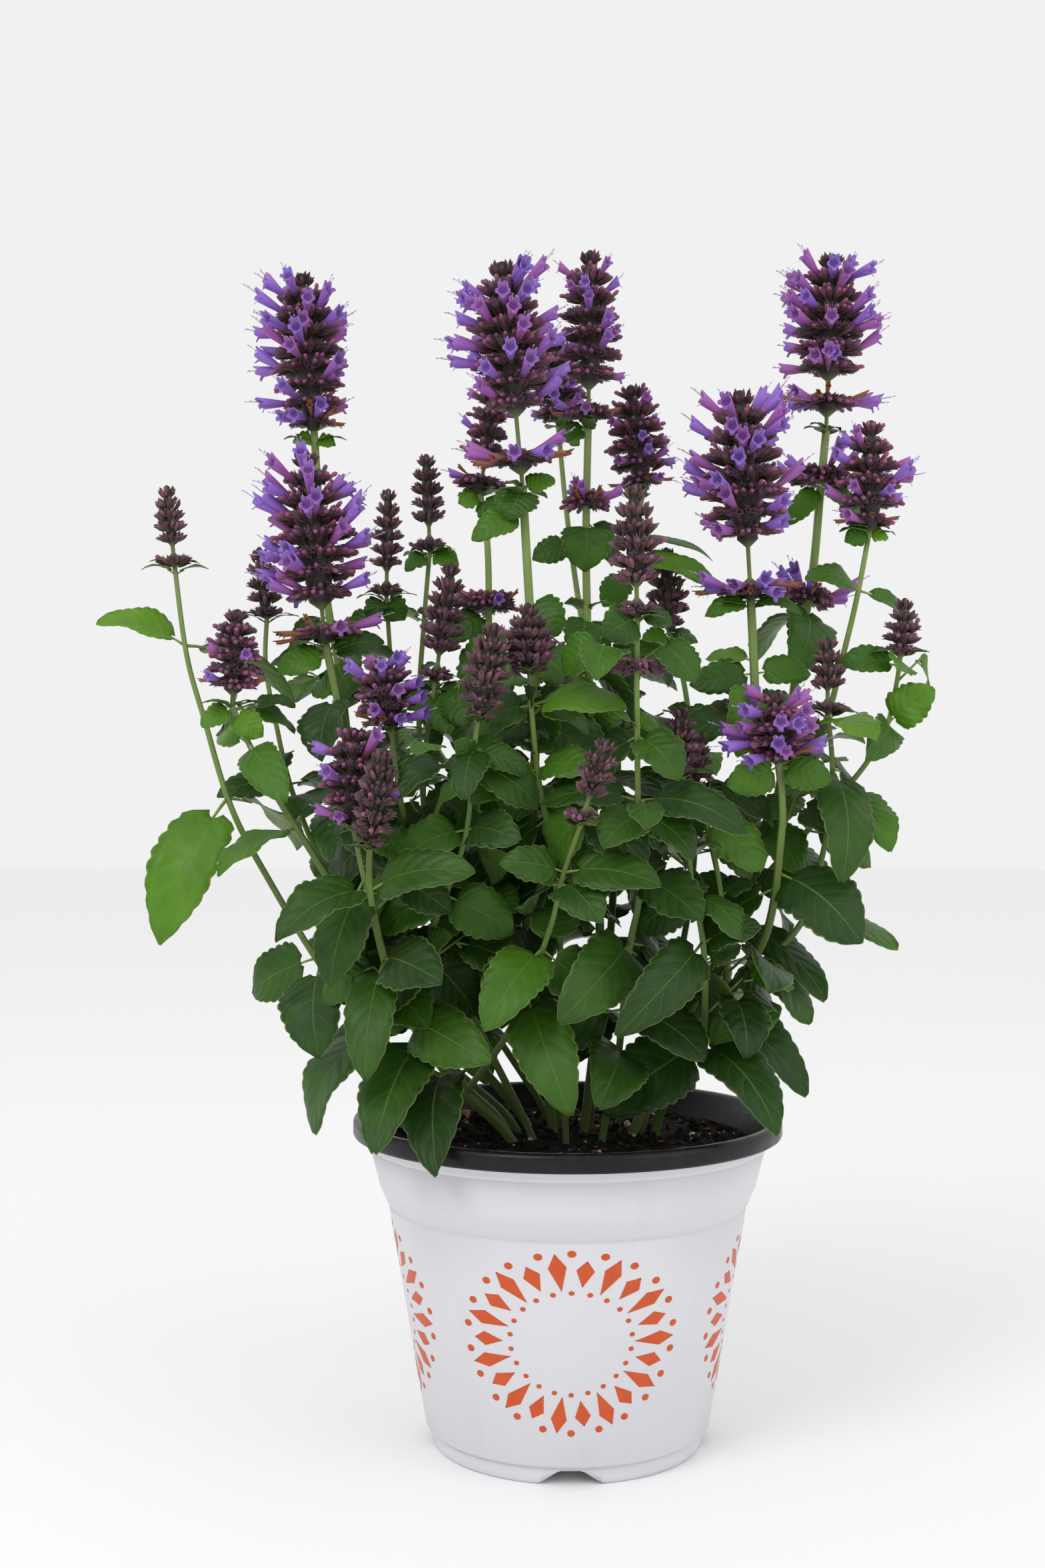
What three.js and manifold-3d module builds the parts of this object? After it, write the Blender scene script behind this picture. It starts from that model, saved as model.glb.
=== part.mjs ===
// A giant hyssop in its nursery pot: the pot, its peat fill, leafy square stems and their flower heads.
// Millimetres, +Z up, -Y is the front. The origin is the centre of the pot's foot, on the ground.
import * as THREE from "three";
import { mergeVertices } from "three/addons/utils/BufferGeometryUtils.js";
import Module from "manifold-3d";

const wasm = await Module();
wasm.setup();

// Pot
const POT_SIDES = 32;
const FOOT_RADIUS = 63;
const FLOOR_UNDERSIDE = 7;
const FLOOR_TOP = 9;
const SHOULDER_Z = 112;
const RIM_RADIUS = 101;
const RIM_TOP = 153;
const NOTCH_COUNT = 4;
const NOTCH_HEIGHT = 6.5;
const NOTCH_BOTTOM_WIDTH = 30;
const NOTCH_TOP_WIDTH = 10;
const NOTCH_DEPTH = 30;
const NOTCH_REACH = 12;

// Soil
const SOIL_TOP = 141;
const SOIL_BUMP = 1.1;
const SOIL_EDGE_DROP = 1.5;
const HOLE_OVERRUN = 6;
const FALLEN_BASE_Z = 141.05;
const FALLEN_TIP_Z = 141.45;
const FALLEN_WIDTH = 20;
const GAP = 0.35;

// Stems and leaves
const STEM_SIDES = 4;
const BLADE_THICKNESS = 0.75;
const NODE_RISE = 0.12;
const STALK_SHARE = 0.16;
const STALK_WIDTH = 2.2;
const ARCH = 0.09;
const CUP = 0.16;
const WIDE_BLADE = 28;
const SMALL_BLADE = 24;
const PAIR_TURN = 0.35;
const PAIR_WIDTH = 0.5;
const PAIR_FACING = 0.15;
const LONG_LEAF = 30;
const LONG_LEAF_RISE = -0.1;
const SHORT_LEAF_RISE = 0.25;
const LEAF_OUTWARD = 0.3;
const FLAT_UP = 1.05;

// Flower heads
const CALYX_INNER = 0.62;
const CALYX_TIP_SHARE = 0.78;
const CELLS_OF_THINNEST = 2.6;
const CELLS_PER_MM = 0.21;
const TWIST = 0.5;
const SEAT_RISE = 1.6;
const OPEN_ROW_RADIUS = 8;
const FLORET_SIDES = 3;
const FLORET_TUBE = 1;
const FLORET_MOUTH = 2.4;
const FLORET_ROOT = 0.45;
const FLORET_LEAN = 0.25;
const FLORET_LEAN_GROWTH = 0.45;
const GOLDEN = 0.618034;
const WHORL_BELOW = 4;
const WHORL_ABOVE = 5;
const WHORL_TAPER = 0.8;

// Radius and height along the pot's section: from the centre pad under the floor out to the foot, up the
// wall, over the rim and down inside to the floor. The rim starts at point RIM_START.
const POT_SECTION = [
  [0, 0], [9, 0], [11, FLOOR_UNDERSIDE], [55, FLOOR_UNDERSIDE],
  [58.5, 0], [FOOT_RADIUS, 0], [64.5, 7.5], [66.8, 9],
  [84.3, SHOULDER_Z], [88.6, 121.5], [93.4, 139.5],
  [95, 145], [100, 144.8], [RIM_RADIUS, 146.5], [RIM_RADIUS, 151.3], [99, RIM_TOP], [95.6, 152.4],
  [93.4, 146], [82.8, 112.6], [65.2, 12], [62.5, FLOOR_TOP], [0, FLOOR_TOP],
];
const RIM_START = 11;

// Radius and height along the soil's section: up the pot's inner wall, then in across the top.
const SOIL_SECTION = [
  [0, FLOOR_TOP + GAP], [62.1, FLOOR_TOP + GAP], [82.4, 112.8], [90.6, 138.6],
  [64, SOIL_TOP], [34, SOIL_TOP], [0, SOIL_TOP],
];

// Each shoot has the points of its stem from its foot or its fork up, and how thick it is at both ends. One
// that forks has the shoot that it stands on and its place on that one. Its leaves are [place on the stem,
// leaf tip, width, how far the blade faces the front], its opposite pairs [place, length] and its whorls
// [place, radius]. Its head has a tip, the radius of each row of calyces, how far its flowers reach and how
// many are open.
const SHOOTS = {
  left_low: {
    path: [[-14, -4, 120], [-30, -11, 147], [-50, -22, 168], [-70, -35, 198], [-82, -48, 227],
      [-88, -62, 259], [-88, -71, 281]],
    thick: [3, 1.7],
    leaves: [[2.2, [-60, -99, 153], 28, 0.8], [2.7, [-84, -100, 158], 28, 0.8],
      [3, [-27, -75, 191], 26, 0.7], [4, [-89, -90, 185], 22, 0.7], [4, [-48, -85, 227], 26, 0.6],
      [5, [-125, -95, 248], 24, 0.5], [5, [-44, -90, 274], 22, 0.5]],
    head: { tip: [-81, -78, 325], rows: [5, 7.5, 8, 8, 7.5, 6.5, 4] },
  },
  far_left: {
    on: "left_low",
    at: 2.1,
    path: [[-81, -20, 186], [-112, -15, 220], [-140, -10, 264], [-158, -8, 298], [-171, -5, 339],
      [-180, -2, 370], [-186, 0, 412]],
    thick: [2.1, 1.3],
    leaves: [[2, [-115, -48, 190], 30, 1], [2, [-94, 30, 236], 27, 0.5], [4, [-188, -38, 240], 31, 1],
      [4, [-130, 38, 281], 30, 0.6], [6, [-219, -12, 388], 19, 0.25], [6, [-130, -30, 356], 17, 0.2],
      [6.9, [-165, -10, 428], 12, 0.3], [6.9, [-203, -12, 402], 13, 0.3]],
    head: { tip: [-190, 0, 451], rows: [7, 3, 6, 6.5, 6, 5, 3.5] },
  },
  mid_left_bud: {
    on: "left_low",
    at: 3.1,
    path: [[-62, -42, 242], [-47, -50, 284], [-43, -56, 321], [-41, -58, 337]],
    thick: [1.7, 1.3],
    leaves: [[2, [-69, -75, 276], 20, 0.6], [2, [-25, -80, 286], 20, 0.6],
      [3, [-47, -86, 305], 18, 0.9], [3, [-24, -72, 314], 13, 0.5]],
    head: { tip: [-33, -60, 381], rows: [6, 8, 9, 9, 8.5, 7, 4.5] },
  },
  left_low_bloom: {
    on: "left_low",
    at: 4.1,
    path: [[-91, -52, 263], [-97, -50, 290]],
    thick: [1.7, 1.4],
    leaves: [[1, [-107, -70, 222], 24, 0.8]],
    head: { tip: [-97, -46, 335], rows: [9, 12, 13, 12, 10, 6], bloom: 21, florets: 6 },
  },
  front_small: {
    on: "left_low",
    at: 1.9,
    path: [[-30, -35, 192], [-21, -48, 212], [-9, -66, 246], [-4, -75, 268], [4, -85, 292]],
    thick: [1.8, 1.2],
    leaves: [[2, [-3, -92, 174], 26, 0.9], [2.6, [-37, -100, 209], 24, 0.7],
      [2.6, [-1, -30, 255], 20, 0.5], [4, [37, -95, 268], 22, 0.4], [4, [-30, -85, 276], 17, 0.4]],
    head: { tip: [15, -92, 329], rows: [6.5, 3, 6, 7, 6.5, 4] },
  },
  left_mixed: {
    path: [[-20, 8, 120], [-31, 8, 147], [-51, 3, 168], [-79, -5, 207], [-110, -15, 262],
      [-134, -22, 302], [-146, -25, 325], [-155, -25, 345]],
    thick: [2.4, 1.5],
    leaves: [[4.5, [-157, -50, 268], 20, 0.35], [4.5, [-123, 20, 308], 22, 0.6],
      [6, [-118, -55, 302], 18, 0.5], [6, [-166, 10, 336], 15, 0.4]],
    head: { tip: [-152, -28, 390], rows: [6, 10, 11, 10, 9, 8, 5], bloom: 15, florets: 4 },
  },
  left_bud: {
    on: "left_mixed",
    at: 4.1,
    path: [[-132, 15, 305], [-142, 30, 339], [-148, 38, 367], [-148, 42, 391]],
    thick: [1.6, 1.3],
    pairs: [[1, 36]],
    head: { tip: [-152, 42, 427], rows: [6, 7, 6.5, 6, 4] },
  },
  left_bloom_low: {
    path: [[-16, 17, 120], [-28, 18, 147], [-67, 12, 186], [-83, 10, 237], [-99, 5, 301],
      [-106, 0, 336], [-114, -5, 375]],
    thick: [2.8, 2.3],
    pairs: [[2, 46], [3, 44]],
    head: { tip: [-124, -5, 467], rows: [13, 6, 13, 15, 16, 16, 15, 13, 10, 6], bloom: 27, florets: 10 },
  },
  left_back_bud: {
    on: "left_bloom_low",
    at: 3.1,
    path: [[-80, 28, 275], [-83, 45, 318], [-88, 60, 374], [-90, 60, 404]],
    thick: [1.7, 1.3],
    pairs: [[1, 36], [2, 32]],
    head: { tip: [-89, 60, 459], rows: [7, 3.5, 6, 7, 7, 6, 5, 3.5] },
  },
  left_bloom_high: {
    path: [[-10, 28, 120], [-22, 31, 147], [-68, 36, 205], [-102, 42, 301], [-113, 50, 368],
      [-120, 52, 408], [-126, 55, 486]],
    thick: [2.9, 2.3],
    pairs: [[2, 46], [3, 40], [4, 34]],
    head: { tip: [-133, 55, 567], rows: [8, 13, 14, 15, 15, 14, 13, 10, 6], bloom: 27, florets: 10 },
  },
  back_left_bud: {
    path: [[-3, 36, 120], [-10, 40, 147], [-55, 44, 220], [-69, 54, 284], [-74, 68, 343],
      [-72, 78, 391], [-69, 80, 429]],
    thick: [2.2, 1.4],
    pairs: [[2, 46], [3, 42], [4, 36]],
    head: { tip: [-71, 80, 480], rows: [7, 4, 6.5, 7, 7, 6, 4] },
  },
  inner_left_bud: {
    path: [[-9, 3, 120], [-19, 1, 147], [-54, -6, 222], [-67, 5, 286], [-68, 8, 320], [-63, 10, 358]],
    thick: [2.3, 1.4],
    pairs: [[2, 42]],
    head: { tip: [-55, 10, 416], rows: [7, 5, 8, 9, 9, 8, 6.5, 4] },
  },
  inner_left_bloom: {
    on: "inner_left_bud",
    at: 2.1,
    path: [[-69, -16, 262], [-78, -15, 302], [-82, -20, 335]],
    thick: [1.7, 1.4],
    head: { tip: [-87, -22, 368], rows: [9, 12, 12, 10, 6], bloom: 20, florets: 6 },
  },
  mid_bloom_high: {
    path: [[-3, 15, 120], [-7, 14, 147], [-19, 7, 238], [-16, 0, 301], [-15, -5, 352], [-18, -8, 395],
      [-21, -10, 447]],
    thick: [3, 2.5],
    leaves: [[5.8, [-27, -42, 430], 20, 0.8], [5.8, [-42, 12, 426], 19, 0.5]],
    pairs: [[4, 34]],
    head: {
      tip: [-31, -15, 554],
      rows: [5, 13, 5, 4, 12, 15, 16, 16, 15, 13, 10, 6],
      bloom: 27,
      florets: 10,
    },
  },
  mid_back: {
    path: [[-1, 27, 120], [-4, 30, 147], [-29, 36, 236], [-36, 52, 301], [-38, 65, 369], [-39, 72, 429],
      [-43, 75, 458]],
    thick: [2.4, 2],
    pairs: [[2, 46], [3, 40]],
    whorls: [[4.5, 12]],
    head: { tip: [-35, 78, 520], rows: [12, 5, 9, 9, 8, 7, 4], bloom: 17, florets: 4 },
  },
  mid_front_bud: {
    path: [[0, -7, 120], [-1, -11, 147], [-4, -20, 239], [-8, -29, 279], [-14, -38, 312],
      [-17, -44, 342], [-18, -45, 358.5]],
    thick: [2, 1.4],
    leaves: [[4, [10, -62, 317], 19, 0.5], [4, [-31, -70, 302], 18, 0.7], [5, [24, -66, 344], 19, 0.35],
      [5, [-36, -20, 332], 16, 0.4]],
    head: { tip: [-19, -46, 391], rows: [7, 10, 10.5, 9, 7, 4] },
  },
  front_bud: {
    path: [[14, -5, 120], [17, -8, 147], [23, -17, 180], [27, -40, 233], [31, -50, 259], [30, -58, 296],
      [29, -66, 350], [29, -70, 382]],
    thick: [2.2, 1.4],
    leaves: [[2, [14, -78, 174], 28, 0.8], [3, [-1, -92, 211], 28, 0.9], [3, [50, 0, 219], 24, 0.5],
      [5, [73, -88, 295], 22, 0.35], [5, [-2, -88, 305], 19, 0.4], [6, [59, -70, 346], 17, 0.4],
      [6, [1, -60, 355], 14, 0.4]],
    whorls: [[6.25, 9]],
    head: { tip: [27, -75, 440], rows: [8, 5, 8.5, 9.5, 9.5, 8.5, 7, 4] },
  },
  mid_right_back: {
    path: [[9, 27, 120], [12, 30, 147], [21, 34, 221], [26, 48, 301], [27, 62, 368], [33, 68, 420],
      [40, 70, 458]],
    thick: [2.5, 2],
    pairs: [[2, 46], [3, 42], [4, 34]],
    head: { tip: [34, 72, 514], rows: [9, 12, 13, 12, 10, 6], bloom: 18, florets: 6 },
  },
  mid_tall: {
    path: [[6, 15, 120], [9, 14, 147], [16, 11, 222], [13, 20, 301], [11, 25, 366], [10, 30, 413],
      [10, 30, 441], [11, 30, 485]],
    thick: [2.8, 2.2],
    leaves: [[6, [11, 0, 407], 28, 0.9], [6, [-16, 50, 434], 20, 0.5]],
    pairs: [[3, 40]],
    whorls: [[6.15, 9]],
    head: { tip: [12, 28, 571], rows: [11, 5, 12, 13, 13, 12, 11, 9, 5], bloom: 19, florets: 7 },
  },
  mid_tall_back: {
    on: "mid_tall",
    at: 4.1,
    path: [[6, 60, 409], [1, 72, 451], [-3, 78, 495]],
    thick: [1.8, 1.5],
    head: { tip: [-7, 82, 540], rows: [10, 13, 13, 11, 7], bloom: 20, florets: 6 },
  },
  dark_bud: {
    path: [[21, 19, 120], [26, 22, 147], [52, 28, 210], [64, 46, 268], [65, 62, 318], [62, 75, 359],
      [54, 80, 389]],
    thick: [2.2, 1.5],
    pairs: [[2, 44], [3, 40], [4, 34]],
    head: { tip: [53, 82, 432], rows: [7, 9, 9, 8, 7, 4] },
  },
  right_bloom: {
    path: [[28, 3, 120], [33, 3, 147], [62, 0, 200], [83, 0, 254], [87, 0, 301], [89, 0, 345],
      [87, 0, 396]],
    thick: [3, 2.4],
    leaves: [[2, [104, -34, 168], 24, 0.6], [4.9, [62, -40, 323], 20, 0.6],
      [4.9, [119, 30, 342], 20, 0.5]],
    pairs: [[3, 42]],
    whorls: [[4.85, 8]],
    head: { tip: [81, -5, 496], rows: [13, 5, 4, 12, 16, 17, 17, 16, 14, 10, 6], bloom: 29, florets: 11 },
  },
  right_small_bud: {
    on: "right_bloom",
    at: 2.1,
    path: [[106, -10, 239], [119, -14, 277], [123, -16, 312], [121, -15, 342]],
    thick: [1.8, 1.3],
    leaves: [[1, [151, -24, 238], 26, 0.3], [3, [113, -60, 272], 26, 0.95],
      [3, [152, 20, 302], 22, 0.5], [3.7, [136, -50, 330], 22, 0.8], [3.7, [108, 18, 324], 20, 0.5]],
    head: { tip: [121, -15, 378], rows: [6.5, 4, 6.5, 7, 6, 4] },
  },
  far_right: {
    on: "right_bloom",
    at: 1.9,
    path: [[79, 8, 238], [94, 6, 264], [113, 0, 286], [138, -5, 315], [150, -5, 335], [155, -5, 356],
      [157, -5, 370]],
    thick: [1.8, 1.2],
    leaves: [[1, [119, -28, 212], 24, 0.5], [3.5, [146, -38, 282], 22, 0.7],
      [3.5, [150, 30, 304], 20, 0.5], [5, [169, -15, 354], 19, 0.6], [5, [137, -45, 323], 16, 0.8],
      [6.4, [129, -14, 372], 14, 0.4], [6.4, [181, -14, 361], 15, 0.4]],
    head: { tip: [159, -5, 397], rows: [6, 7.5, 7, 5.5, 3.5] },
  },
  right_front_small: {
    path: [[39, 13, 120], [43, 8, 147], [48, -2, 162], [58, -20, 186], [62, -26, 194], [60, -50, 234],
      [54, -55, 266], [53, -55, 280]],
    thick: [2.9, 1.2],
    leaves: [[3, [88, -85, 169], 28, 0.6], [3, [76, -56, 206], 20, 0.7], [5, [24, -96, 207], 23, 0.8],
      [5, [83, -66, 246], 18, 0.5]],
    head: { tip: [51, -55, 290], rows: [5, 4.5, 3] },
  },
  right_front_bloom: {
    on: "right_front_small",
    at: 3.1,
    path: [[71, -12, 204], [91, -25, 240], [96, -38, 284], [96, -42, 302], [94, -44, 319]],
    thick: [2.3, 1.9],
    leaves: [[1.5, [88, -80, 226], 24, 0.8], [2.5, [128, -60, 242], 33, 0.75]],
    head: { tip: [91, -48, 351], rows: [10, 13, 12, 9, 5], bloom: 22, florets: 7 },
  },
  right_inner_bud: {
    on: "right_front_bloom",
    at: 1.1,
    path: [[73, -22, 228], [69, -32, 262], [61, -38, 296], [50, -40, 313]],
    thick: [1.6, 1.3],
    head: { tip: [50, -42, 345], rows: [6, 8.5, 8.5, 7.5, 6, 3.5] },
  },
  right_inner_small: {
    on: "right_inner_bud",
    at: 2.1,
    path: [[63, -16, 295], [59, -12, 306]],
    thick: [1.3, 1.1],
    head: { tip: [62, -11, 334], rows: [5, 6.5, 6, 5, 3] },
  },
  right_tall: {
    path: [[33, 15, 120], [37, 18, 147], [68, 24, 211], [95, 32, 268], [108, 40, 318], [116, 46, 371],
      [124, 50, 415], [128, 52, 455], [131, 52, 486]],
    thick: [3, 2.3],
    leaves: [[5.4, [114, 10, 368], 27, 0.9], [5.4, [146, 80, 388], 23, 0.5]],
    pairs: [[2, 46], [3, 42]],
    whorls: [[5.7, 11], [7.2, 14]],
    head: { tip: [134, 52, 576], rows: [5, 12, 6, 13, 15, 15, 14, 13, 10, 6], bloom: 26, florets: 10 },
  },
  right_tall_low: {
    on: "right_tall",
    at: 3.1,
    path: [[110, 22, 301], [125, 14, 340], [132, 10, 369], [139, 10, 398], [145, 10, 430]],
    thick: [1.9, 1.4],
    leaves: [[4, [105, 0, 408], 15, 0.3], [4, [154, -20, 383], 13, 0.5]],
    pairs: [[1.5, 30]],
    head: { tip: [146, 10, 484], rows: [9, 12, 13, 12, 9, 5], bloom: 20, florets: 6 },
  },
};

// Half outlines of a blade as [share of its length, share of its half width], from its stalk to its tip.
// Each pair of close points is a tooth and the notch behind it.
const WIDE_EDGE = [[0.23, 0.84], [0.36, 1], [0.41, 0.84], [0.58, 0.8], [0.63, 0.6], [0.8, 0.38]];
const MIDDLE_EDGE = [[0.24, 0.84], [0.42, 1], [0.47, 0.8], [0.74, 0.6]];
const SMALL_EDGE = [[0.34, 1], [0.42, 0.8], [0.7, 0.6]];

const green = new THREE.MeshStandardMaterial({ color: 0x3f6f2a, roughness: 0.6 });
const violet = new THREE.MeshStandardMaterial({ color: 0x6a3f96, roughness: 0.65 });
const budBrown = new THREE.MeshStandardMaterial({ color: 0x6b4058, roughness: 0.75 });
const peat = new THREE.MeshStandardMaterial({ color: 0x1f1712, roughness: 0.95 });
const dryLeaf = new THREE.MeshStandardMaterial({ color: 0x6a4a30, roughness: 0.9 });
const potSheet = new THREE.MeshStandardMaterial({ color: 0xffffff, roughness: 0.45, vertexColors: true });
const SHEET_WHITE = 0.84;
const SHEET_BLACK = 0.03;

function point(coordinates) {
  return new THREE.Vector3(...coordinates);
}

// A point on a stem; place counts its points.
function along(path, place) {
  const i = Math.min(Math.floor(place), path.length - 2);
  return point(path[i]).lerp(point(path[i + 1]), place - i);
}

// A shoot that forks starts inside the one it stands on.
for (const shoot of Object.values(SHOOTS)) {
  if (shoot.on) shoot.path.unshift(along(SHOOTS[shoot.on].path, shoot.at).toArray());
}

// A closed solid from points and triangles; where the triangles face in, all are turned round.
function solid(points, triangles) {
  const build = (faces) => new wasm.Manifold(new wasm.Mesh({
    numProp: 3,
    vertProperties: new Float32Array(points.flatMap((p) => p.toArray())),
    triVerts: new Uint32Array(faces.flat()),
  }));
  const made = build(triangles);
  return made.volume() > 0 ? made : build(triangles.map(([a, b, c]) => [a, c, b]));
}

function solidOfGeometry(geometry) {
  const bare = geometry.clone();
  bare.deleteAttribute("normal");
  bare.deleteAttribute("uv");
  const merged = mergeVertices(bare, 1e-3);
  const positions = merged.getAttribute("position");
  const points = Array.from({ length: positions.count }, (_, i) =>
    new THREE.Vector3().fromBufferAttribute(positions, i));
  const triangles = [];
  for (let i = 0; i < merged.index.count; i += 3) {
    const corners = [merged.index.getX(i), merged.index.getX(i + 1), merged.index.getX(i + 2)];
    if (new Set(corners).size === 3) triangles.push(corners);
  }
  return solid(points, triangles);
}

function meshOf(made, name, material) {
  const { vertProperties, triVerts } = made.getMesh();
  const geometry = new THREE.BufferGeometry();
  geometry.setAttribute("position", new THREE.BufferAttribute(new Float32Array(vertProperties), 3));
  geometry.setIndex(new THREE.BufferAttribute(new Uint32Array(triVerts), 1));
  geometry.computeVertexNormals();
  const mesh = new THREE.Mesh(geometry, material);
  mesh.name = name;
  return mesh;
}

function revolved(section) {
  const lathe = new THREE.LatheGeometry(section.map(([r, z]) => new THREE.Vector2(r, z)), POT_SIDES);
  return lathe.rotateX(Math.PI / 2);
}

// The drain notch: a wedge across the foot ring, wider at the ground.
function notch(turn) {
  const outline = new THREE.Shape([
    new THREE.Vector2(-NOTCH_BOTTOM_WIDTH / 2, -1),
    new THREE.Vector2(NOTCH_BOTTOM_WIDTH / 2, -1),
    new THREE.Vector2(NOTCH_TOP_WIDTH / 2, NOTCH_HEIGHT),
    new THREE.Vector2(-NOTCH_TOP_WIDTH / 2, NOTCH_HEIGHT),
  ]);
  const wedge = new THREE.ExtrudeGeometry(outline, { depth: NOTCH_DEPTH, bevelEnabled: false });
  wedge.rotateX(Math.PI / 2);
  wedge.translate(0, NOTCH_DEPTH - NOTCH_REACH - FOOT_RADIUS, 0);
  wedge.rotateZ(turn);
  return solidOfGeometry(wedge);
}

// The sheet is white up to the rim and black from there inwards, so the nearest section point tells.
function isBlack(radius, z) {
  const distances = POT_SECTION.map(([r, h]) => Math.hypot(r - radius, h - z));
  return distances.indexOf(Math.min(...distances)) >= RIM_START;
}

function makePot() {
  let made = solidOfGeometry(revolved(POT_SECTION));
  for (let i = 0; i < NOTCH_COUNT; i++) {
    made = made.subtract(notch((i * 2 * Math.PI) / NOTCH_COUNT));
  }
  const mesh = meshOf(made, "pot", potSheet);
  const positions = mesh.geometry.getAttribute("position");
  const colours = new Float32Array(positions.count * 3);
  for (let i = 0; i < positions.count; i++) {
    const black = isBlack(Math.hypot(positions.getX(i), positions.getY(i)), positions.getZ(i));
    colours.fill(black ? SHEET_BLACK : SHEET_WHITE, i * 3, i * 3 + 3);
  }
  mesh.geometry.setAttribute("color", new THREE.BufferAttribute(colours, 3));
  return mesh;
}

// The soil's top is uneven and falls a little to the wall.
function soilHeight(x, y) {
  const bumps = Math.sin(x * 0.21 + 1.3) * Math.cos(y * 0.17 - 0.4) + 0.6 * Math.sin(x * 0.09 - y * 0.31);
  return SOIL_TOP + SOIL_BUMP * bumps - SOIL_EDGE_DROP * (Math.hypot(x, y) / 90) ** 2;
}

// The peat fill, with a hole for each stem.
function makeSoil(holes) {
  const geometry = revolved(SOIL_SECTION);
  const positions = geometry.getAttribute("position");
  for (let i = 0; i < positions.count; i++) {
    if (positions.getZ(i) < SOIL_TOP - 1) continue;
    positions.setZ(i, soilHeight(positions.getX(i), positions.getY(i)));
  }
  return holes.reduce((made, hole) => made.subtract(hole), solidOfGeometry(geometry));
}

// Points evenly round a centre, square to a direction.
function ringOf(centre, forward, radius, count, shift) {
  const across = new THREE.Vector3(1, 0, 0).addScaledVector(forward, -forward.x).normalize();
  const other = new THREE.Vector3().crossVectors(forward, across);
  return Array.from({ length: count }, (_, k) => {
    const angle = ((k + shift) * 2 * Math.PI) / count;
    return centre.clone().addScaledVector(across, Math.cos(angle) * radius)
      .addScaledVector(other, Math.sin(angle) * radius);
  });
}

// A prism along points, with its own radius at each, and flat ends.
function prism(points, radii, sides) {
  const rings = points.map((p, i) => {
    const before = points[Math.max(0, i - 1)];
    const after = points[Math.min(points.length - 1, i + 1)];
    return ringOf(p, after.clone().sub(before).normalize(), radii[i], sides, 0.5);
  });
  const triangles = [];
  for (let i = 0; i + 1 < rings.length; i++) {
    for (let k = 0; k < sides; k++) {
      const next = (k + 1) % sides;
      const [a, b, c, d] = [i * sides + k, i * sides + next, (i + 1) * sides + next, (i + 1) * sides + k];
      triangles.push([a, b, c], [a, c, d]);
    }
  }
  const last = (rings.length - 1) * sides;
  for (let k = 1; k + 1 < sides; k++) triangles.push([0, k + 1, k], [last, last + k, last + k + 1]);
  return solid(rings.flat(), triangles);
}

function thicknessAt(shoot, place) {
  const [foot, top] = shoot.thick;
  return foot + ((top - foot) * place) / (shoot.path.length - 1);
}

function stemOf(shoot) {
  return prism(shoot.path.map(point), shoot.path.map((_, i) => thicknessAt(shoot, i)), STEM_SIDES);
}

// The directions of a leaf: along its midrib, across it and out of its upper face.
function leafFrame(leaf) {
  const forward = leaf.tip.clone().sub(leaf.base);
  const length = forward.length();
  forward.normalize();
  const middle = leaf.base.clone().add(leaf.tip).multiplyScalar(0.5);
  const outward = new THREE.Vector3(middle.x, middle.y, 0).normalize();
  const up = new THREE.Vector3(0, -leaf.facing, FLAT_UP - leaf.facing).addScaledVector(outward, LEAF_OUTWARD);
  up.addScaledVector(forward, -up.dot(forward)).normalize();
  return { forward, up, across: new THREE.Vector3().crossVectors(up, forward), length };
}

// A point of the blade, which arches along its midrib and is cupped to both sides.
function leafPoint(leaf, frame, share, side) {
  const rise = ARCH * frame.length * 4 * share * (1 - share) + CUP * Math.abs(side);
  return leaf.base.clone().addScaledVector(frame.forward, share * frame.length)
    .addScaledVector(frame.across, side).addScaledVector(frame.up, rise);
}

// The half outline of a leaf, from where its stalk meets the blade to its last tooth.
function edgeOf(leaf) {
  const toothed = leaf.width < SMALL_BLADE ? SMALL_EDGE : leaf.width < WIDE_BLADE ? MIDDLE_EDGE : WIDE_EDGE;
  return [[STALK_SHARE, STALK_WIDTH / leaf.width], ...toothed];
}

// A toothed blade with its stalk: two like faces a blade's thickness apart, each split along the midrib.
function leafSolid(leaf) {
  const frame = leafFrame(leaf);
  const edge = edgeOf(leaf);
  const midrib = leaf.width < WIDE_BLADE ? [1, 0.45, 0] : [1, 0.62, 0.28, 0];
  const halves = [...edge, ...edge.map(([share, side]) => [share, -side])];
  const outline = [
    ...midrib.map((share) => [share, 0]),
    ...halves.map(([share, side]) => [share, (side * leaf.width) / 2]),
  ];
  const ribs = [...midrib.keys()];
  const left = edge.map((_, i) => ribs.length + i);
  const right = left.map((i) => i + edge.length);
  const fill = (numbers) => {
    const corners = numbers.map((i) => new THREE.Vector2(outline[i][0] * frame.length, outline[i][1]));
    return THREE.ShapeUtils.triangulateShape(corners, []).map((t) => t.map((i) => numbers[i]));
  };
  const face = [...fill([...ribs, ...left]), ...fill([...ribs, ...right])];
  const points = [1, -1].flatMap((side) => outline.map(([share, across]) =>
    leafPoint(leaf, frame, share, across).addScaledVector(frame.up, (side * BLADE_THICKNESS) / 2)));
  const under = (i) => i + outline.length;
  const triangles = [...face, ...face.map(([a, b, c]) => [under(a), under(c), under(b)])];
  const edges = new Set(face.flatMap(([a, b, c]) => [`${a} ${b}`, `${b} ${c}`, `${c} ${a}`]));
  for (const pair of edges) {
    const [a, b] = pair.split(" ").map(Number);
    if (!edges.has(`${b} ${a}`)) triangles.push([b, a, under(a)], [b, under(a), under(b)]);
  }
  return solid(points, triangles);
}

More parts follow.
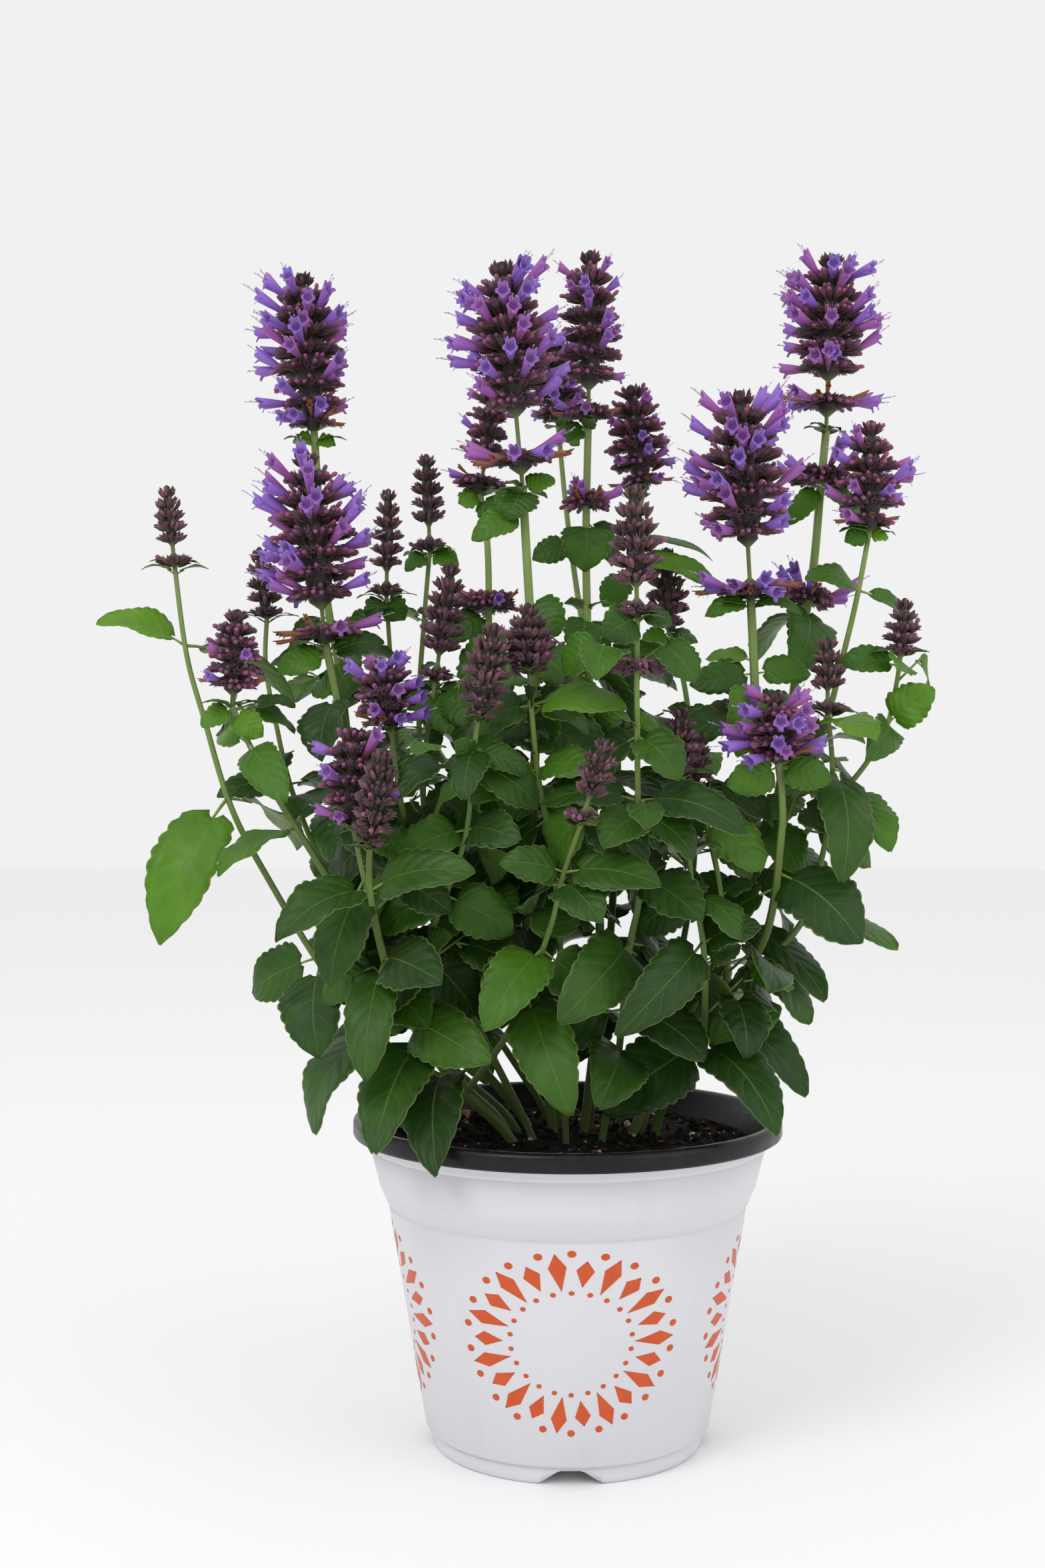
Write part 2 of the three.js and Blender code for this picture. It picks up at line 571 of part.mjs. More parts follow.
// Leaves keep clear of one another: one that would meet what is already there is turned or lifted, or
// else left out.
const TURNS = [0, 14, -14, 28, -28, 42, -42, 60, -60, 80, -80];
const LIFTS = [0, 12, -12, 24, -24];
const LEAF_ROOM = 4.2;
const STEM_ROOM = 2.4;
const OWN_ROOM = 2;
const STEM_SAMPLES = 14;
const HEAD_ROOM = 1.5;
const HEAD_SAMPLES = 8;
const HEAD_START = 0.6;
const POT_ROOM = 3;
const SOIL_ROOM = 5;
const SOIL_RADIUS = 88;
const BLADE_SAMPLES = [
  [0.17, 0], [0.26, 0.75], [0.38, 0.95], [0.5, 0.9], [0.62, 0.75], [0.75, 0.5], [0.88, 0.25], [1, 0],
];
const taken = [];

function samplesOf(leaf) {
  const frame = leafFrame(leaf);
  return BLADE_SAMPLES.flatMap(([share, spread]) => (spread ? [-1, -0.5, 0, 0.5, 1] : [0]).map((side) =>
    leafPoint(leaf, frame, share, (side * spread * leaf.width) / 2)));
}

function meetsPot(p) {
  const radius = Math.hypot(p.x, p.y);
  const floor = radius < SOIL_RADIUS ? SOIL_TOP + SOIL_ROOM : RIM_TOP + POT_ROOM;
  return radius < RIM_RADIUS + POT_ROOM && p.z < floor;
}

function isClear(samples, owner) {
  return samples.every((p) => !meetsPot(p)
    && taken.every((t) => p.distanceTo(t.at) > (t.owner === owner ? t.room - OWN_ROOM : t.room)));
}

function turned(leaf, turn, lift) {
  const reach = leaf.tip.clone().sub(leaf.base);
  const length = reach.length();
  reach.applyAxisAngle(new THREE.Vector3(0, 0, 1), THREE.MathUtils.degToRad(turn));
  reach.z += Math.sin(THREE.MathUtils.degToRad(lift)) * length;
  return { ...leaf, tip: leaf.base.clone().add(reach.setLength(length)) };
}

function settle(leaf, owner) {
  for (const lift of LIFTS) {
    for (const turn of TURNS) {
      const tried = turned(leaf, turn, lift);
      const samples = samplesOf(tried);
      if (!isClear(samples, owner)) continue;
      samples.forEach((at) => taken.push({ at, room: LEAF_ROOM, owner: null }));
      return tried;
    }
  }
  return null;
}

function placedLeaves(shoot) {
  return (shoot.leaves ?? []).map(([place, tip, width, facing]) =>
    ({ base: along(shoot.path, place + NODE_RISE), tip: point(tip), width, facing }));
}

// Two opposite leaves at each node; every pair stands square to the pair below it.
function pairLeaves(shoot) {
  return (shoot.pairs ?? []).flatMap(([place, length], order) => [0, Math.PI].map((half) => {
    const base = along(shoot.path, place + NODE_RISE);
    const angle = Math.atan2(base.y, base.x) + PAIR_TURN + half + (order % 2 ? Math.PI / 2 : 0);
    const rise = length > LONG_LEAF ? LONG_LEAF_RISE : SHORT_LEAF_RISE;
    const reach = new THREE.Vector3(Math.cos(angle), Math.sin(angle), rise).setLength(length);
    return { base, tip: base.clone().add(reach), width: length * PAIR_WIDTH, facing: PAIR_FACING };
  }));
}

function rootOf(name) {
  return SHOOTS[name].on ? rootOf(SHOOTS[name].on) : name;
}

// Stems, heads and whorls take their room before any leaf.
function claimRoom() {
  for (const [name, shoot] of Object.entries(SHOOTS)) {
    const { path, head } = shoot;
    const steps = (path.length - 1) * STEM_SAMPLES;
    for (let i = 0; i <= steps; i++) {
      const place = i / STEM_SAMPLES;
      const room = thicknessAt(shoot, place) + STEM_ROOM;
      taken.push({ at: along(path, place), room, owner: rootOf(name) });
    }
    const headRoom = (head.bloom ?? Math.max(...head.rows)) + HEAD_ROOM;
    for (let i = 0; i <= HEAD_SAMPLES; i++) {
      const at = point(path.at(-1)).lerp(point(head.tip), (i + HEAD_START) / (HEAD_SAMPLES + HEAD_START));
      taken.push({ at, room: headRoom, owner: null });
    }
    for (const [place, radius] of shoot.whorls ?? []) {
      taken.push({ at: along(path, place), room: radius + 1, owner: null });
    }
  }
}

// The leaves set one by one take their places first, then the pairs.
function settleLeaves() {
  const settled = Object.fromEntries(Object.keys(SHOOTS).map((name) => [name, []]));
  for (const leavesOf of [placedLeaves, pairLeaves]) {
    for (const [name, shoot] of Object.entries(SHOOTS)) {
      const leaves = leavesOf(shoot).map((leaf) => settle(leaf, rootOf(name)));
      settled[name].push(...leaves.filter(Boolean));
    }
  }
  return settled;
}

// A stack of whorls: each cell of the lattice round the axis is raised into one pointed calyx.
function spike(low, high, rows) {
  const count = Math.round(CELLS_OF_THINNEST + Math.max(...rows) * CELLS_PER_MM);
  const forward = high.clone().sub(low).normalize();
  const start = low.clone().addScaledVector(forward, SEAT_RISE);
  const ring = (row, radius, shift) =>
    ringOf(start.clone().lerp(high, row / rows.length), forward, radius, count, shift);
  const inner = (row) => CALYX_INNER * Math.min(rows[row - 1] ?? rows[0], rows[row] ?? rows.at(-1));
  const points = [low, high.clone().addScaledVector(forward, SEAT_RISE)];
  for (let row = 0; row <= rows.length; row++) points.push(...ring(row, inner(row), row * TWIST));
  const lattice = (row, k) => 2 + row * count + (k % count);
  const triangles = [];
  for (let k = 0; k < count; k++) {
    triangles.push([0, lattice(0, k + 1), lattice(0, k)]);
    triangles.push([1, lattice(rows.length, k), lattice(rows.length, k + 1)]);
  }
  const calyces = [];
  rows.forEach((radius, row) => {
    ring(row + CALYX_TIP_SHARE, radius, (row + 0.5) * TWIST + 0.5).forEach((tip, k) => {
      const at = points.push(tip) - 1;
      const corners = [lattice(row, k), lattice(row, k + 1), lattice(row + 1, k + 1), lattice(row + 1, k)];
      corners.forEach((corner, i) => triangles.push([corner, corners[(i + 1) % 4], at]));
      calyces.push({ tip, row, radius });
    });
  });
  return { body: solid(points, triangles), calyces };
}

// A floret: a slender three-sided tube that leans up and opens to its mouth.
function floret(head, calyx, base, forward) {
  const level = base.clone().addScaledVector(forward, calyx.tip.clone().sub(base).dot(forward));
  const out = calyx.tip.clone().sub(level).normalize();
  const lean = FLORET_LEAN + (FLORET_LEAN_GROWTH * calyx.row) / head.rows.length;
  const reach = (head.bloom * calyx.radius) / Math.max(...head.rows) - calyx.radius * FLORET_ROOT;
  const root = level.addScaledVector(out, calyx.radius * FLORET_ROOT);
  const mouth = root.clone().addScaledVector(out, reach).addScaledVector(forward, lean * reach);
  return prism([root, mouth], [FLORET_TUBE, FLORET_MOUTH], FLORET_SIDES);
}

function makeHead({ head, path }) {
  const tip = point(head.tip);
  const top = point(path.at(-1));
  const forward = tip.clone().sub(top).normalize();
  const base = top.addScaledVector(forward, GAP);
  const { body, calyces } = spike(base, tip, head.rows);
  const open = calyces.filter(({ row, radius }) => radius > OPEN_ROW_RADIUS && row < head.rows.length - 1);
  let made = body;
  for (let i = 0; i < (head.florets ?? 0); i++) {
    const calyx = open[Math.floor(((i * GOLDEN) % 1) * open.length)];
    made = made.add(floret(head, calyx, base, forward));
  }
  return made;
}

function makeWhorl(shoot, place, radius) {
  const at = along(shoot.path, place);
  const low = at.clone().add(new THREE.Vector3(0, 0, -WHORL_BELOW));
  const high = at.clone().add(new THREE.Vector3(0, 0, WHORL_ABOVE));
  return spike(low, high, [radius, radius * WHORL_TAPER]).body;
}

// A plant's stem with the shoots that fork from it, their leaves and whorls, joined in one.
function makeStem(root, settled) {
  const family = Object.keys(SHOOTS).filter((name) => rootOf(name) === root);
  const pieces = family.flatMap((name) => [
    stemOf(SHOOTS[name]),
    ...settled[name].map(leafSolid),
    ...(SHOOTS[name].whorls ?? []).map(([place, radius]) => makeWhorl(SHOOTS[name], place, radius)),
  ]);
  return pieces.reduce((made, piece) => made.add(piece));
}

function makeHole({ path, thick }) {
  const [foot, above] = [point(path[0]), point(path[1])];
  const forward = above.clone().sub(foot).normalize();
  const ends = [foot.addScaledVector(forward, -GAP), above.addScaledVector(forward, HOLE_OVERRUN)];
  const radius = thick[0] + GAP * Math.SQRT2;
  return prism(ends, [radius, radius], STEM_SIDES);
}

function makeFallenLeaf() {
  const base = new THREE.Vector3(-52, 40, FALLEN_BASE_Z);
  const tip = new THREE.Vector3(-28, 62, FALLEN_TIP_Z);
  return leafSolid({ base, tip, width: FALLEN_WIDTH, facing: 0 });
}

const plant = new THREE.Group();
const standing = Object.keys(SHOOTS).filter((name) => !SHOOTS[name].on);
plant.add(makePot());
plant.add(meshOf(makeSoil(standing.map((name) => makeHole(SHOOTS[name]))), "soil", peat));
plant.add(meshOf(makeFallenLeaf(), "fallen_leaf", dryLeaf));
claimRoom();
const settled = settleLeaves();
for (const name of standing) plant.add(meshOf(makeStem(name, settled), "stem_" + name, green));
for (const [name, shoot] of Object.entries(SHOOTS)) {
  plant.add(meshOf(makeHead(shoot), "head_" + name, shoot.head.florets ? violet : budBrown));
}

export default plant;
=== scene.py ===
"""A giant hyssop in its nursery pot: pot, peat, square stems, toothed leaves and whorled flower heads.

Lengths are in millimetres until a mesh is made, which turns them into metres. -Y is the front.
"""
import math

import bpy
import numpy as np
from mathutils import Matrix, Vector, noise


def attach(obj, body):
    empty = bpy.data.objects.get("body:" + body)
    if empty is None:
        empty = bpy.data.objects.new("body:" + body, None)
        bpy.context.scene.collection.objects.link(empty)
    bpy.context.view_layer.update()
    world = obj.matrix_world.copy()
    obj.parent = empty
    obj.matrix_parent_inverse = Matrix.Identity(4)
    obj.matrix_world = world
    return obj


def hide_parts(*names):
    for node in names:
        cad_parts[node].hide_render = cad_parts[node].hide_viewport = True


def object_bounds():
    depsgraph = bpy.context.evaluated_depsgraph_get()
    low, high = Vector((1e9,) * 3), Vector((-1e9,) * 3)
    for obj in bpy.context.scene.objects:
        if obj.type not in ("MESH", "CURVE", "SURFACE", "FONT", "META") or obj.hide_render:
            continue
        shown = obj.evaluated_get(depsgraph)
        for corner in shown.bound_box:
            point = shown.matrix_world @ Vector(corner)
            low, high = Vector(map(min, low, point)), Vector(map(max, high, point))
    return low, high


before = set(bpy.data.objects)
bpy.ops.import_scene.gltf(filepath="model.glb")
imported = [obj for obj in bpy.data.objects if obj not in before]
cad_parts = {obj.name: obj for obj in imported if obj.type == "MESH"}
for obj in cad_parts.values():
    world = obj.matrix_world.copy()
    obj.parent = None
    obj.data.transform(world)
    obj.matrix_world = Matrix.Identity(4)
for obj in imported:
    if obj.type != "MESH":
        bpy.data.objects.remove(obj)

CAD_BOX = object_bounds()
MM = 0.001
SEED = 20260
TURN = 2 * math.pi
UP = np.array([0.0, 0.0, 1.0])

# Each shoot has the points of its stem from its foot or its fork up, and how thick it is at both ends. One
# that forks has the shoot that it stands on and its place on that one. Its leaves are (place on the stem,
# leaf tip, width, how far the blade faces the front), its opposite pairs (place, length) and its whorls
# (place, radius). Its head has a tip, the radius of each row of calyces, how far its flowers reach and how
# many the solid has open.
SHOOTS = {
    "left_low": dict(
        thick=(3, 1.7), tip=(-81, -78, 325), rows=(5, 7.5, 8, 8, 7.5, 6.5, 4),
        path=[(-14, -4, 120), (-30, -11, 147), (-50, -22, 168), (-70, -35, 198), (-82, -48, 227),
            (-88, -62, 259), (-88, -71, 281)],
        leaves=[(2.2, (-60, -99, 153), 28, 0.8), (2.7, (-84, -100, 158), 28, 0.8),
            (3, (-27, -75, 191), 26, 0.7), (4, (-89, -90, 185), 22, 0.7), (4, (-48, -85, 227), 26, 0.6),
            (5, (-125, -95, 248), 24, 0.5), (5, (-44, -90, 274), 22, 0.5)]),
    "far_left": dict(
        on="left_low", at=2.1, thick=(2.1, 1.3), tip=(-190, 0, 451), rows=(7, 3, 6, 6.5, 6, 5, 3.5),
        path=[(-81, -20, 186), (-112, -15, 220), (-140, -10, 264), (-158, -8, 298), (-171, -5, 339),
            (-180, -2, 370), (-186, 0, 412)],
        leaves=[(2, (-115, -48, 190), 30, 1), (2, (-94, 30, 236), 27, 0.5), (4, (-188, -38, 240), 31, 1),
            (4, (-130, 38, 281), 30, 0.6), (6, (-219, -12, 388), 19, 0.25), (6, (-130, -30, 356), 17, 0.2),
            (6.9, (-165, -10, 428), 12, 0.3), (6.9, (-203, -12, 402), 13, 0.3)]),
    "mid_left_bud": dict(
        on="left_low", at=3.1, thick=(1.7, 1.3), tip=(-33, -60, 381), rows=(6, 8, 9, 9, 8.5, 7, 4.5),
        path=[(-62, -42, 242), (-47, -50, 284), (-43, -56, 321), (-41, -58, 337)],
        leaves=[(2, (-69, -75, 276), 20, 0.6), (2, (-25, -80, 286), 20, 0.6), (3, (-47, -86, 305), 18, 0.9),
            (3, (-24, -72, 314), 13, 0.5)]),
    "left_low_bloom": dict(
        on="left_low", at=4.1, thick=(1.7, 1.4), tip=(-97, -46, 335), bloom=21, florets=6,
        rows=(9, 12, 13, 12, 10, 6),
        path=[(-91, -52, 263), (-97, -50, 290)], leaves=[(1, (-107, -70, 222), 24, 0.8)]),
    "front_small": dict(
        on="left_low", at=1.9, thick=(1.8, 1.2), tip=(15, -92, 329), rows=(6.5, 3, 6, 7, 6.5, 4),
        path=[(-30, -35, 192), (-21, -48, 212), (-9, -66, 246), (-4, -75, 268), (4, -85, 292)],
        leaves=[(2, (-3, -92, 174), 26, 0.9), (2.6, (-37, -100, 209), 24, 0.7),
            (2.6, (-1, -30, 255), 20, 0.5), (4, (37, -95, 268), 22, 0.4), (4, (-30, -85, 276), 17, 0.4)]),
    "left_mixed": dict(
        thick=(2.4, 1.5), tip=(-152, -28, 390), bloom=15, florets=4, rows=(6, 10, 11, 10, 9, 8, 5),
        path=[(-20, 8, 120), (-31, 8, 147), (-51, 3, 168), (-79, -5, 207), (-110, -15, 262), (-134, -22, 302),
            (-146, -25, 325), (-155, -25, 345)],
        leaves=[(4.5, (-157, -50, 268), 20, 0.35), (4.5, (-123, 20, 308), 22, 0.6),
            (6, (-118, -55, 302), 18, 0.5), (6, (-166, 10, 336), 15, 0.4)]),
    "left_bud": dict(
        on="left_mixed", at=4.1, thick=(1.6, 1.3), tip=(-152, 42, 427), rows=(6, 7, 6.5, 6, 4),
        path=[(-132, 15, 305), (-142, 30, 339), (-148, 38, 367), (-148, 42, 391)], pairs=[(1, 36)]),
    "left_bloom_low": dict(
        thick=(2.8, 2.3), tip=(-124, -5, 467), bloom=27, florets=10,
        rows=(13, 6, 13, 15, 16, 16, 15, 13, 10, 6),
        path=[(-16, 17, 120), (-28, 18, 147), (-67, 12, 186), (-83, 10, 237), (-99, 5, 301), (-106, 0, 336),
            (-114, -5, 375)], pairs=[(2, 46), (3, 44)]),
    "left_back_bud": dict(
        on="left_bloom_low", at=3.1, thick=(1.7, 1.3), tip=(-89, 60, 459), rows=(7, 3.5, 6, 7, 7, 6, 5, 3.5),
        path=[(-80, 28, 275), (-83, 45, 318), (-88, 60, 374), (-90, 60, 404)], pairs=[(1, 36), (2, 32)]),
    "left_bloom_high": dict(
        thick=(2.9, 2.3), tip=(-133, 55, 567), bloom=27, florets=10, rows=(8, 13, 14, 15, 15, 14, 13, 10, 6),
        path=[(-10, 28, 120), (-22, 31, 147), (-68, 36, 205), (-102, 42, 301), (-113, 50, 368),
            (-120, 52, 408), (-126, 55, 486)], pairs=[(2, 46), (3, 40), (4, 34)]),
    "back_left_bud": dict(
        thick=(2.2, 1.4), tip=(-71, 80, 480), rows=(7, 4, 6.5, 7, 7, 6, 4),
        path=[(-3, 36, 120), (-10, 40, 147), (-55, 44, 220), (-69, 54, 284), (-74, 68, 343), (-72, 78, 391),
            (-69, 80, 429)], pairs=[(2, 46), (3, 42), (4, 36)]),
    "inner_left_bud": dict(
        thick=(2.3, 1.4), tip=(-55, 10, 416), rows=(7, 5, 8, 9, 9, 8, 6.5, 4),
        path=[(-9, 3, 120), (-19, 1, 147), (-54, -6, 222), (-67, 5, 286), (-68, 8, 320), (-63, 10, 358)],
        pairs=[(2, 42)]),
    "inner_left_bloom": dict(
        on="inner_left_bud", at=2.1, thick=(1.7, 1.4), tip=(-87, -22, 368), bloom=20, florets=6,
        rows=(9, 12, 12, 10, 6),
        path=[(-69, -16, 262), (-78, -15, 302), (-82, -20, 335)]),
    "mid_bloom_high": dict(
        thick=(3, 2.5), tip=(-31, -15, 554), bloom=27, florets=10,
        rows=(5, 13, 5, 4, 12, 15, 16, 16, 15, 13, 10, 6),
        path=[(-3, 15, 120), (-7, 14, 147), (-19, 7, 238), (-16, 0, 301), (-15, -5, 352), (-18, -8, 395),
            (-21, -10, 447)], leaves=[(5.8, (-27, -42, 430), 20, 0.8), (5.8, (-42, 12, 426), 19, 0.5)],
        pairs=[(4, 34)]),
    "mid_back": dict(
        thick=(2.4, 2), tip=(-35, 78, 520), bloom=17, florets=4, rows=(12, 5, 9, 9, 8, 7, 4),
        path=[(-1, 27, 120), (-4, 30, 147), (-29, 36, 236), (-36, 52, 301), (-38, 65, 369), (-39, 72, 429),
            (-43, 75, 458)], pairs=[(2, 46), (3, 40)], whorls=[(4.5, 12)]),
    "mid_front_bud": dict(
        thick=(2, 1.4), tip=(-19, -46, 391), rows=(7, 10, 10.5, 9, 7, 4),
        path=[(0, -7, 120), (-1, -11, 147), (-4, -20, 239), (-8, -29, 279), (-14, -38, 312), (-17, -44, 342),
            (-18, -45, 358.5)],
        leaves=[(4, (10, -62, 317), 19, 0.5), (4, (-31, -70, 302), 18, 0.7), (5, (24, -66, 344), 19, 0.35),
            (5, (-36, -20, 332), 16, 0.4)]),
    "front_bud": dict(
        thick=(2.2, 1.4), tip=(27, -75, 440), rows=(8, 5, 8.5, 9.5, 9.5, 8.5, 7, 4),
        path=[(14, -5, 120), (17, -8, 147), (23, -17, 180), (27, -40, 233), (31, -50, 259), (30, -58, 296),
            (29, -66, 350), (29, -70, 382)],
        leaves=[(2, (14, -78, 174), 28, 0.8), (3, (-1, -92, 211), 28, 0.9), (3, (50, 0, 219), 24, 0.5),
            (5, (73, -88, 295), 22, 0.35), (5, (-2, -88, 305), 19, 0.4), (6, (59, -70, 346), 17, 0.4),
            (6, (1, -60, 355), 14, 0.4)], whorls=[(6.25, 9)]),
    "mid_right_back": dict(
        thick=(2.5, 2), tip=(34, 72, 514), bloom=18, florets=6, rows=(9, 12, 13, 12, 10, 6),
        path=[(9, 27, 120), (12, 30, 147), (21, 34, 221), (26, 48, 301), (27, 62, 368), (33, 68, 420),
            (40, 70, 458)], pairs=[(2, 46), (3, 42), (4, 34)]),
    "mid_tall": dict(
        thick=(2.8, 2.2), tip=(12, 28, 571), bloom=19, florets=7, rows=(11, 5, 12, 13, 13, 12, 11, 9, 5),
        path=[(6, 15, 120), (9, 14, 147), (16, 11, 222), (13, 20, 301), (11, 25, 366), (10, 30, 413),
            (10, 30, 441), (11, 30, 485)], leaves=[(6, (11, 0, 407), 28, 0.9), (6, (-16, 50, 434), 20, 0.5)],
        pairs=[(3, 40)], whorls=[(6.15, 9)]),
    "mid_tall_back": dict(
        on="mid_tall", at=4.1, thick=(1.8, 1.5), tip=(-7, 82, 540), bloom=20, florets=6,
        rows=(10, 13, 13, 11, 7),
        path=[(6, 60, 409), (1, 72, 451), (-3, 78, 495)]),
    "dark_bud": dict(
        thick=(2.2, 1.5), tip=(53, 82, 432), rows=(7, 9, 9, 8, 7, 4),
        path=[(21, 19, 120), (26, 22, 147), (52, 28, 210), (64, 46, 268), (65, 62, 318), (62, 75, 359),
            (54, 80, 389)], pairs=[(2, 44), (3, 40), (4, 34)]),
    "right_bloom": dict(
        thick=(3, 2.4), tip=(81, -5, 496), bloom=29, florets=11,
        rows=(13, 5, 4, 12, 16, 17, 17, 16, 14, 10, 6),
        path=[(28, 3, 120), (33, 3, 147), (62, 0, 200), (83, 0, 254), (87, 0, 301), (89, 0, 345),
            (87, 0, 396)],
        leaves=[(2, (104, -34, 168), 24, 0.6), (4.9, (62, -40, 323), 20, 0.6),
            (4.9, (119, 30, 342), 20, 0.5)], pairs=[(3, 42)], whorls=[(4.85, 8)]),
    "right_small_bud": dict(
        on="right_bloom", at=2.1, thick=(1.8, 1.3), tip=(121, -15, 378), rows=(6.5, 4, 6.5, 7, 6, 4),
        path=[(106, -10, 239), (119, -14, 277), (123, -16, 312), (121, -15, 342)],
        leaves=[(1, (151, -24, 238), 26, 0.3), (3, (113, -60, 272), 26, 0.95), (3, (152, 20, 302), 22, 0.5),
            (3.7, (136, -50, 330), 22, 0.8), (3.7, (108, 18, 324), 20, 0.5)]),
    "far_right": dict(
        on="right_bloom", at=1.9, thick=(1.8, 1.2), tip=(159, -5, 397), rows=(6, 7.5, 7, 5.5, 3.5),
        path=[(79, 8, 238), (94, 6, 264), (113, 0, 286), (138, -5, 315), (150, -5, 335), (155, -5, 356),
            (157, -5, 370)],
        leaves=[(1, (119, -28, 212), 24, 0.5), (3.5, (146, -38, 282), 22, 0.7),
            (3.5, (150, 30, 304), 20, 0.5), (5, (169, -15, 354), 19, 0.6), (5, (137, -45, 323), 16, 0.8),
            (6.4, (129, -14, 372), 14, 0.4), (6.4, (181, -14, 361), 15, 0.4)]),
    "right_front_small": dict(
        thick=(2.9, 1.2), tip=(51, -55, 290), rows=(5, 4.5, 3),
        path=[(39, 13, 120), (43, 8, 147), (48, -2, 162), (58, -20, 186), (62, -26, 194), (60, -50, 234),
            (54, -55, 266), (53, -55, 280)],
        leaves=[(3, (88, -85, 169), 28, 0.6), (3, (76, -56, 206), 20, 0.7), (5, (24, -96, 207), 23, 0.8),
            (5, (83, -66, 246), 18, 0.5)]),
    "right_front_bloom": dict(
        on="right_front_small", at=3.1, thick=(2.3, 1.9), tip=(91, -48, 351), bloom=22, florets=7,
        rows=(10, 13, 12, 9, 5),
        path=[(71, -12, 204), (91, -25, 240), (96, -38, 284), (96, -42, 302), (94, -44, 319)],
        leaves=[(1.5, (88, -80, 226), 24, 0.8), (2.5, (128, -60, 242), 33, 0.75)]),
    "right_inner_bud": dict(
        on="right_front_bloom", at=1.1, thick=(1.6, 1.3), tip=(50, -42, 345), rows=(6, 8.5, 8.5, 7.5, 6, 3.5),
        path=[(73, -22, 228), (69, -32, 262), (61, -38, 296), (50, -40, 313)]),
    "right_inner_small": dict(
        on="right_inner_bud", at=2.1, thick=(1.3, 1.1), tip=(62, -11, 334), rows=(5, 6.5, 6, 5, 3),
        path=[(63, -16, 295), (59, -12, 306)]),
    "right_tall": dict(
        thick=(3, 2.3), tip=(134, 52, 576), bloom=26, florets=10, rows=(5, 12, 6, 13, 15, 15, 14, 13, 10, 6),
        path=[(33, 15, 120), (37, 18, 147), (68, 24, 211), (95, 32, 268), (108, 40, 318), (116, 46, 371),
            (124, 50, 415), (128, 52, 455), (131, 52, 486)],
        leaves=[(5.4, (114, 10, 368), 27, 0.9), (5.4, (146, 80, 388), 23, 0.5)], pairs=[(2, 46), (3, 42)],
        whorls=[(5.7, 11), (7.2, 14)]),
    "right_tall_low": dict(
        on="right_tall", at=3.1, thick=(1.9, 1.4), tip=(146, 10, 484), bloom=20, florets=6,
        rows=(9, 12, 13, 12, 9, 5),
        path=[(110, 22, 301), (125, 14, 340), (132, 10, 369), (139, 10, 398), (145, 10, 430)],
        leaves=[(4, (105, 0, 408), 15, 0.3), (4, (154, -20, 383), 13, 0.5)], pairs=[(1.5, 30)]),
}


def srgb(red, green, blue):
    """A colour given as 0 to 255 on a screen, as the linear numbers that a shader takes."""
    values = (channel / 255 for channel in (red, green, blue))
    return (*(v / 12.92 if v <= 0.04045 else ((v + 0.055) / 1.055) ** 2.4 for v in values), 1)


def unit(vector):
    return vector / np.linalg.norm(vector)


def unit_rows(vectors):
    return vectors / np.linalg.norm(vectors, axis=1)[:, None]


def point(coordinates):
    return np.array(coordinates, dtype=float)


def heading(angle, rise):
    """A direction at an angle round z, and how far it rises over its reach."""
    return unit(point((math.cos(angle), math.sin(angle), rise)))


def angles_round(count):
    return np.arange(count) * TURN / count


def ring(angles, radii, heights):
    """Points round z."""
    return np.stack(np.broadcast_arrays(np.cos(angles) * radii, np.sin(angles) * radii, heights), axis=1)


def along(path, place):
    """A point on a stem's straight stretches; place counts its points."""
    i = min(int(place), len(path) - 2)
    return point(path[i]) + (point(path[i + 1]) - point(path[i])) * (place - i)


def smooth(path, place):
    """A point on the smooth curve through a stem's points; place counts them too."""
    i = min(int(place), len(path) - 2)
    t = place - i
    a, b, c, d = (point(path[min(max(k, 0), len(path) - 1)]) for k in (i - 1, i, i + 1, i + 2))
    return 0.5 * (2 * b + (c - a) * t + (2 * a - 5 * b + 4 * c - d) * t ** 2
                  + (3 * b - a - 3 * c + d) * t ** 3)


for shoot in SHOOTS.values():
    if "on" in shoot:
        shoot["path"].insert(0, tuple(along(SHOOTS[shoot["on"]]["path"], shoot["at"])))


def root_of(name):
    return root_of(SHOOTS[name]["on"]) if "on" in SHOOTS[name] else name


def thickness_at(shoot, place):
    foot, top = shoot["thick"]
    return foot + (top - foot) * place / (len(shoot["path"]) - 1)


# Leaves, the same as the solids'
ARCH = 0.09
CUP = 0.16
LEAF_OUTWARD = 0.3
FLAT_UP = 1.05


class Leaf:
    """A leaf's place: where its stalk starts, its tip, its width and how far it faces the front."""

    def __init__(self, base, tip, width, facing):
        self.base, self.tip, self.width, self.facing = point(base), point(tip), width, facing
        reach = self.tip - self.base
        self.length = np.linalg.norm(reach)
        self.forward = reach / self.length
        self.middle = (self.base + self.tip) / 2
        outward = unit(self.middle * (1, 1, 0))
        up = point((0, -facing, FLAT_UP - facing)) + outward * LEAF_OUTWARD
        self.up = unit(up - self.forward * up.dot(self.forward))
        self.across = np.cross(self.up, self.forward)

    def at(self, share, side):
        """Points of the blade for arrays of shares of its length and distances to its side."""
        share, side = np.broadcast_arrays(share, side)
        rise = ARCH * self.length * 4 * share * (1 - share) + CUP * np.abs(side)
        return (self.base + np.multiply.outer(share * self.length, self.forward)
                + np.multiply.outer(side, self.across) + np.multiply.outer(rise, self.up))

    def turned(self, turn, lift):
        reach = self.tip - self.base
        cos, sin = math.cos(math.radians(turn)), math.sin(math.radians(turn))
        turned = point((cos * reach[0] - sin * reach[1], sin * reach[0] + cos * reach[1],
                        reach[2] + math.sin(math.radians(lift)) * self.length))
        return Leaf(self.base, self.base + unit(turned) * self.length, self.width, self.facing)


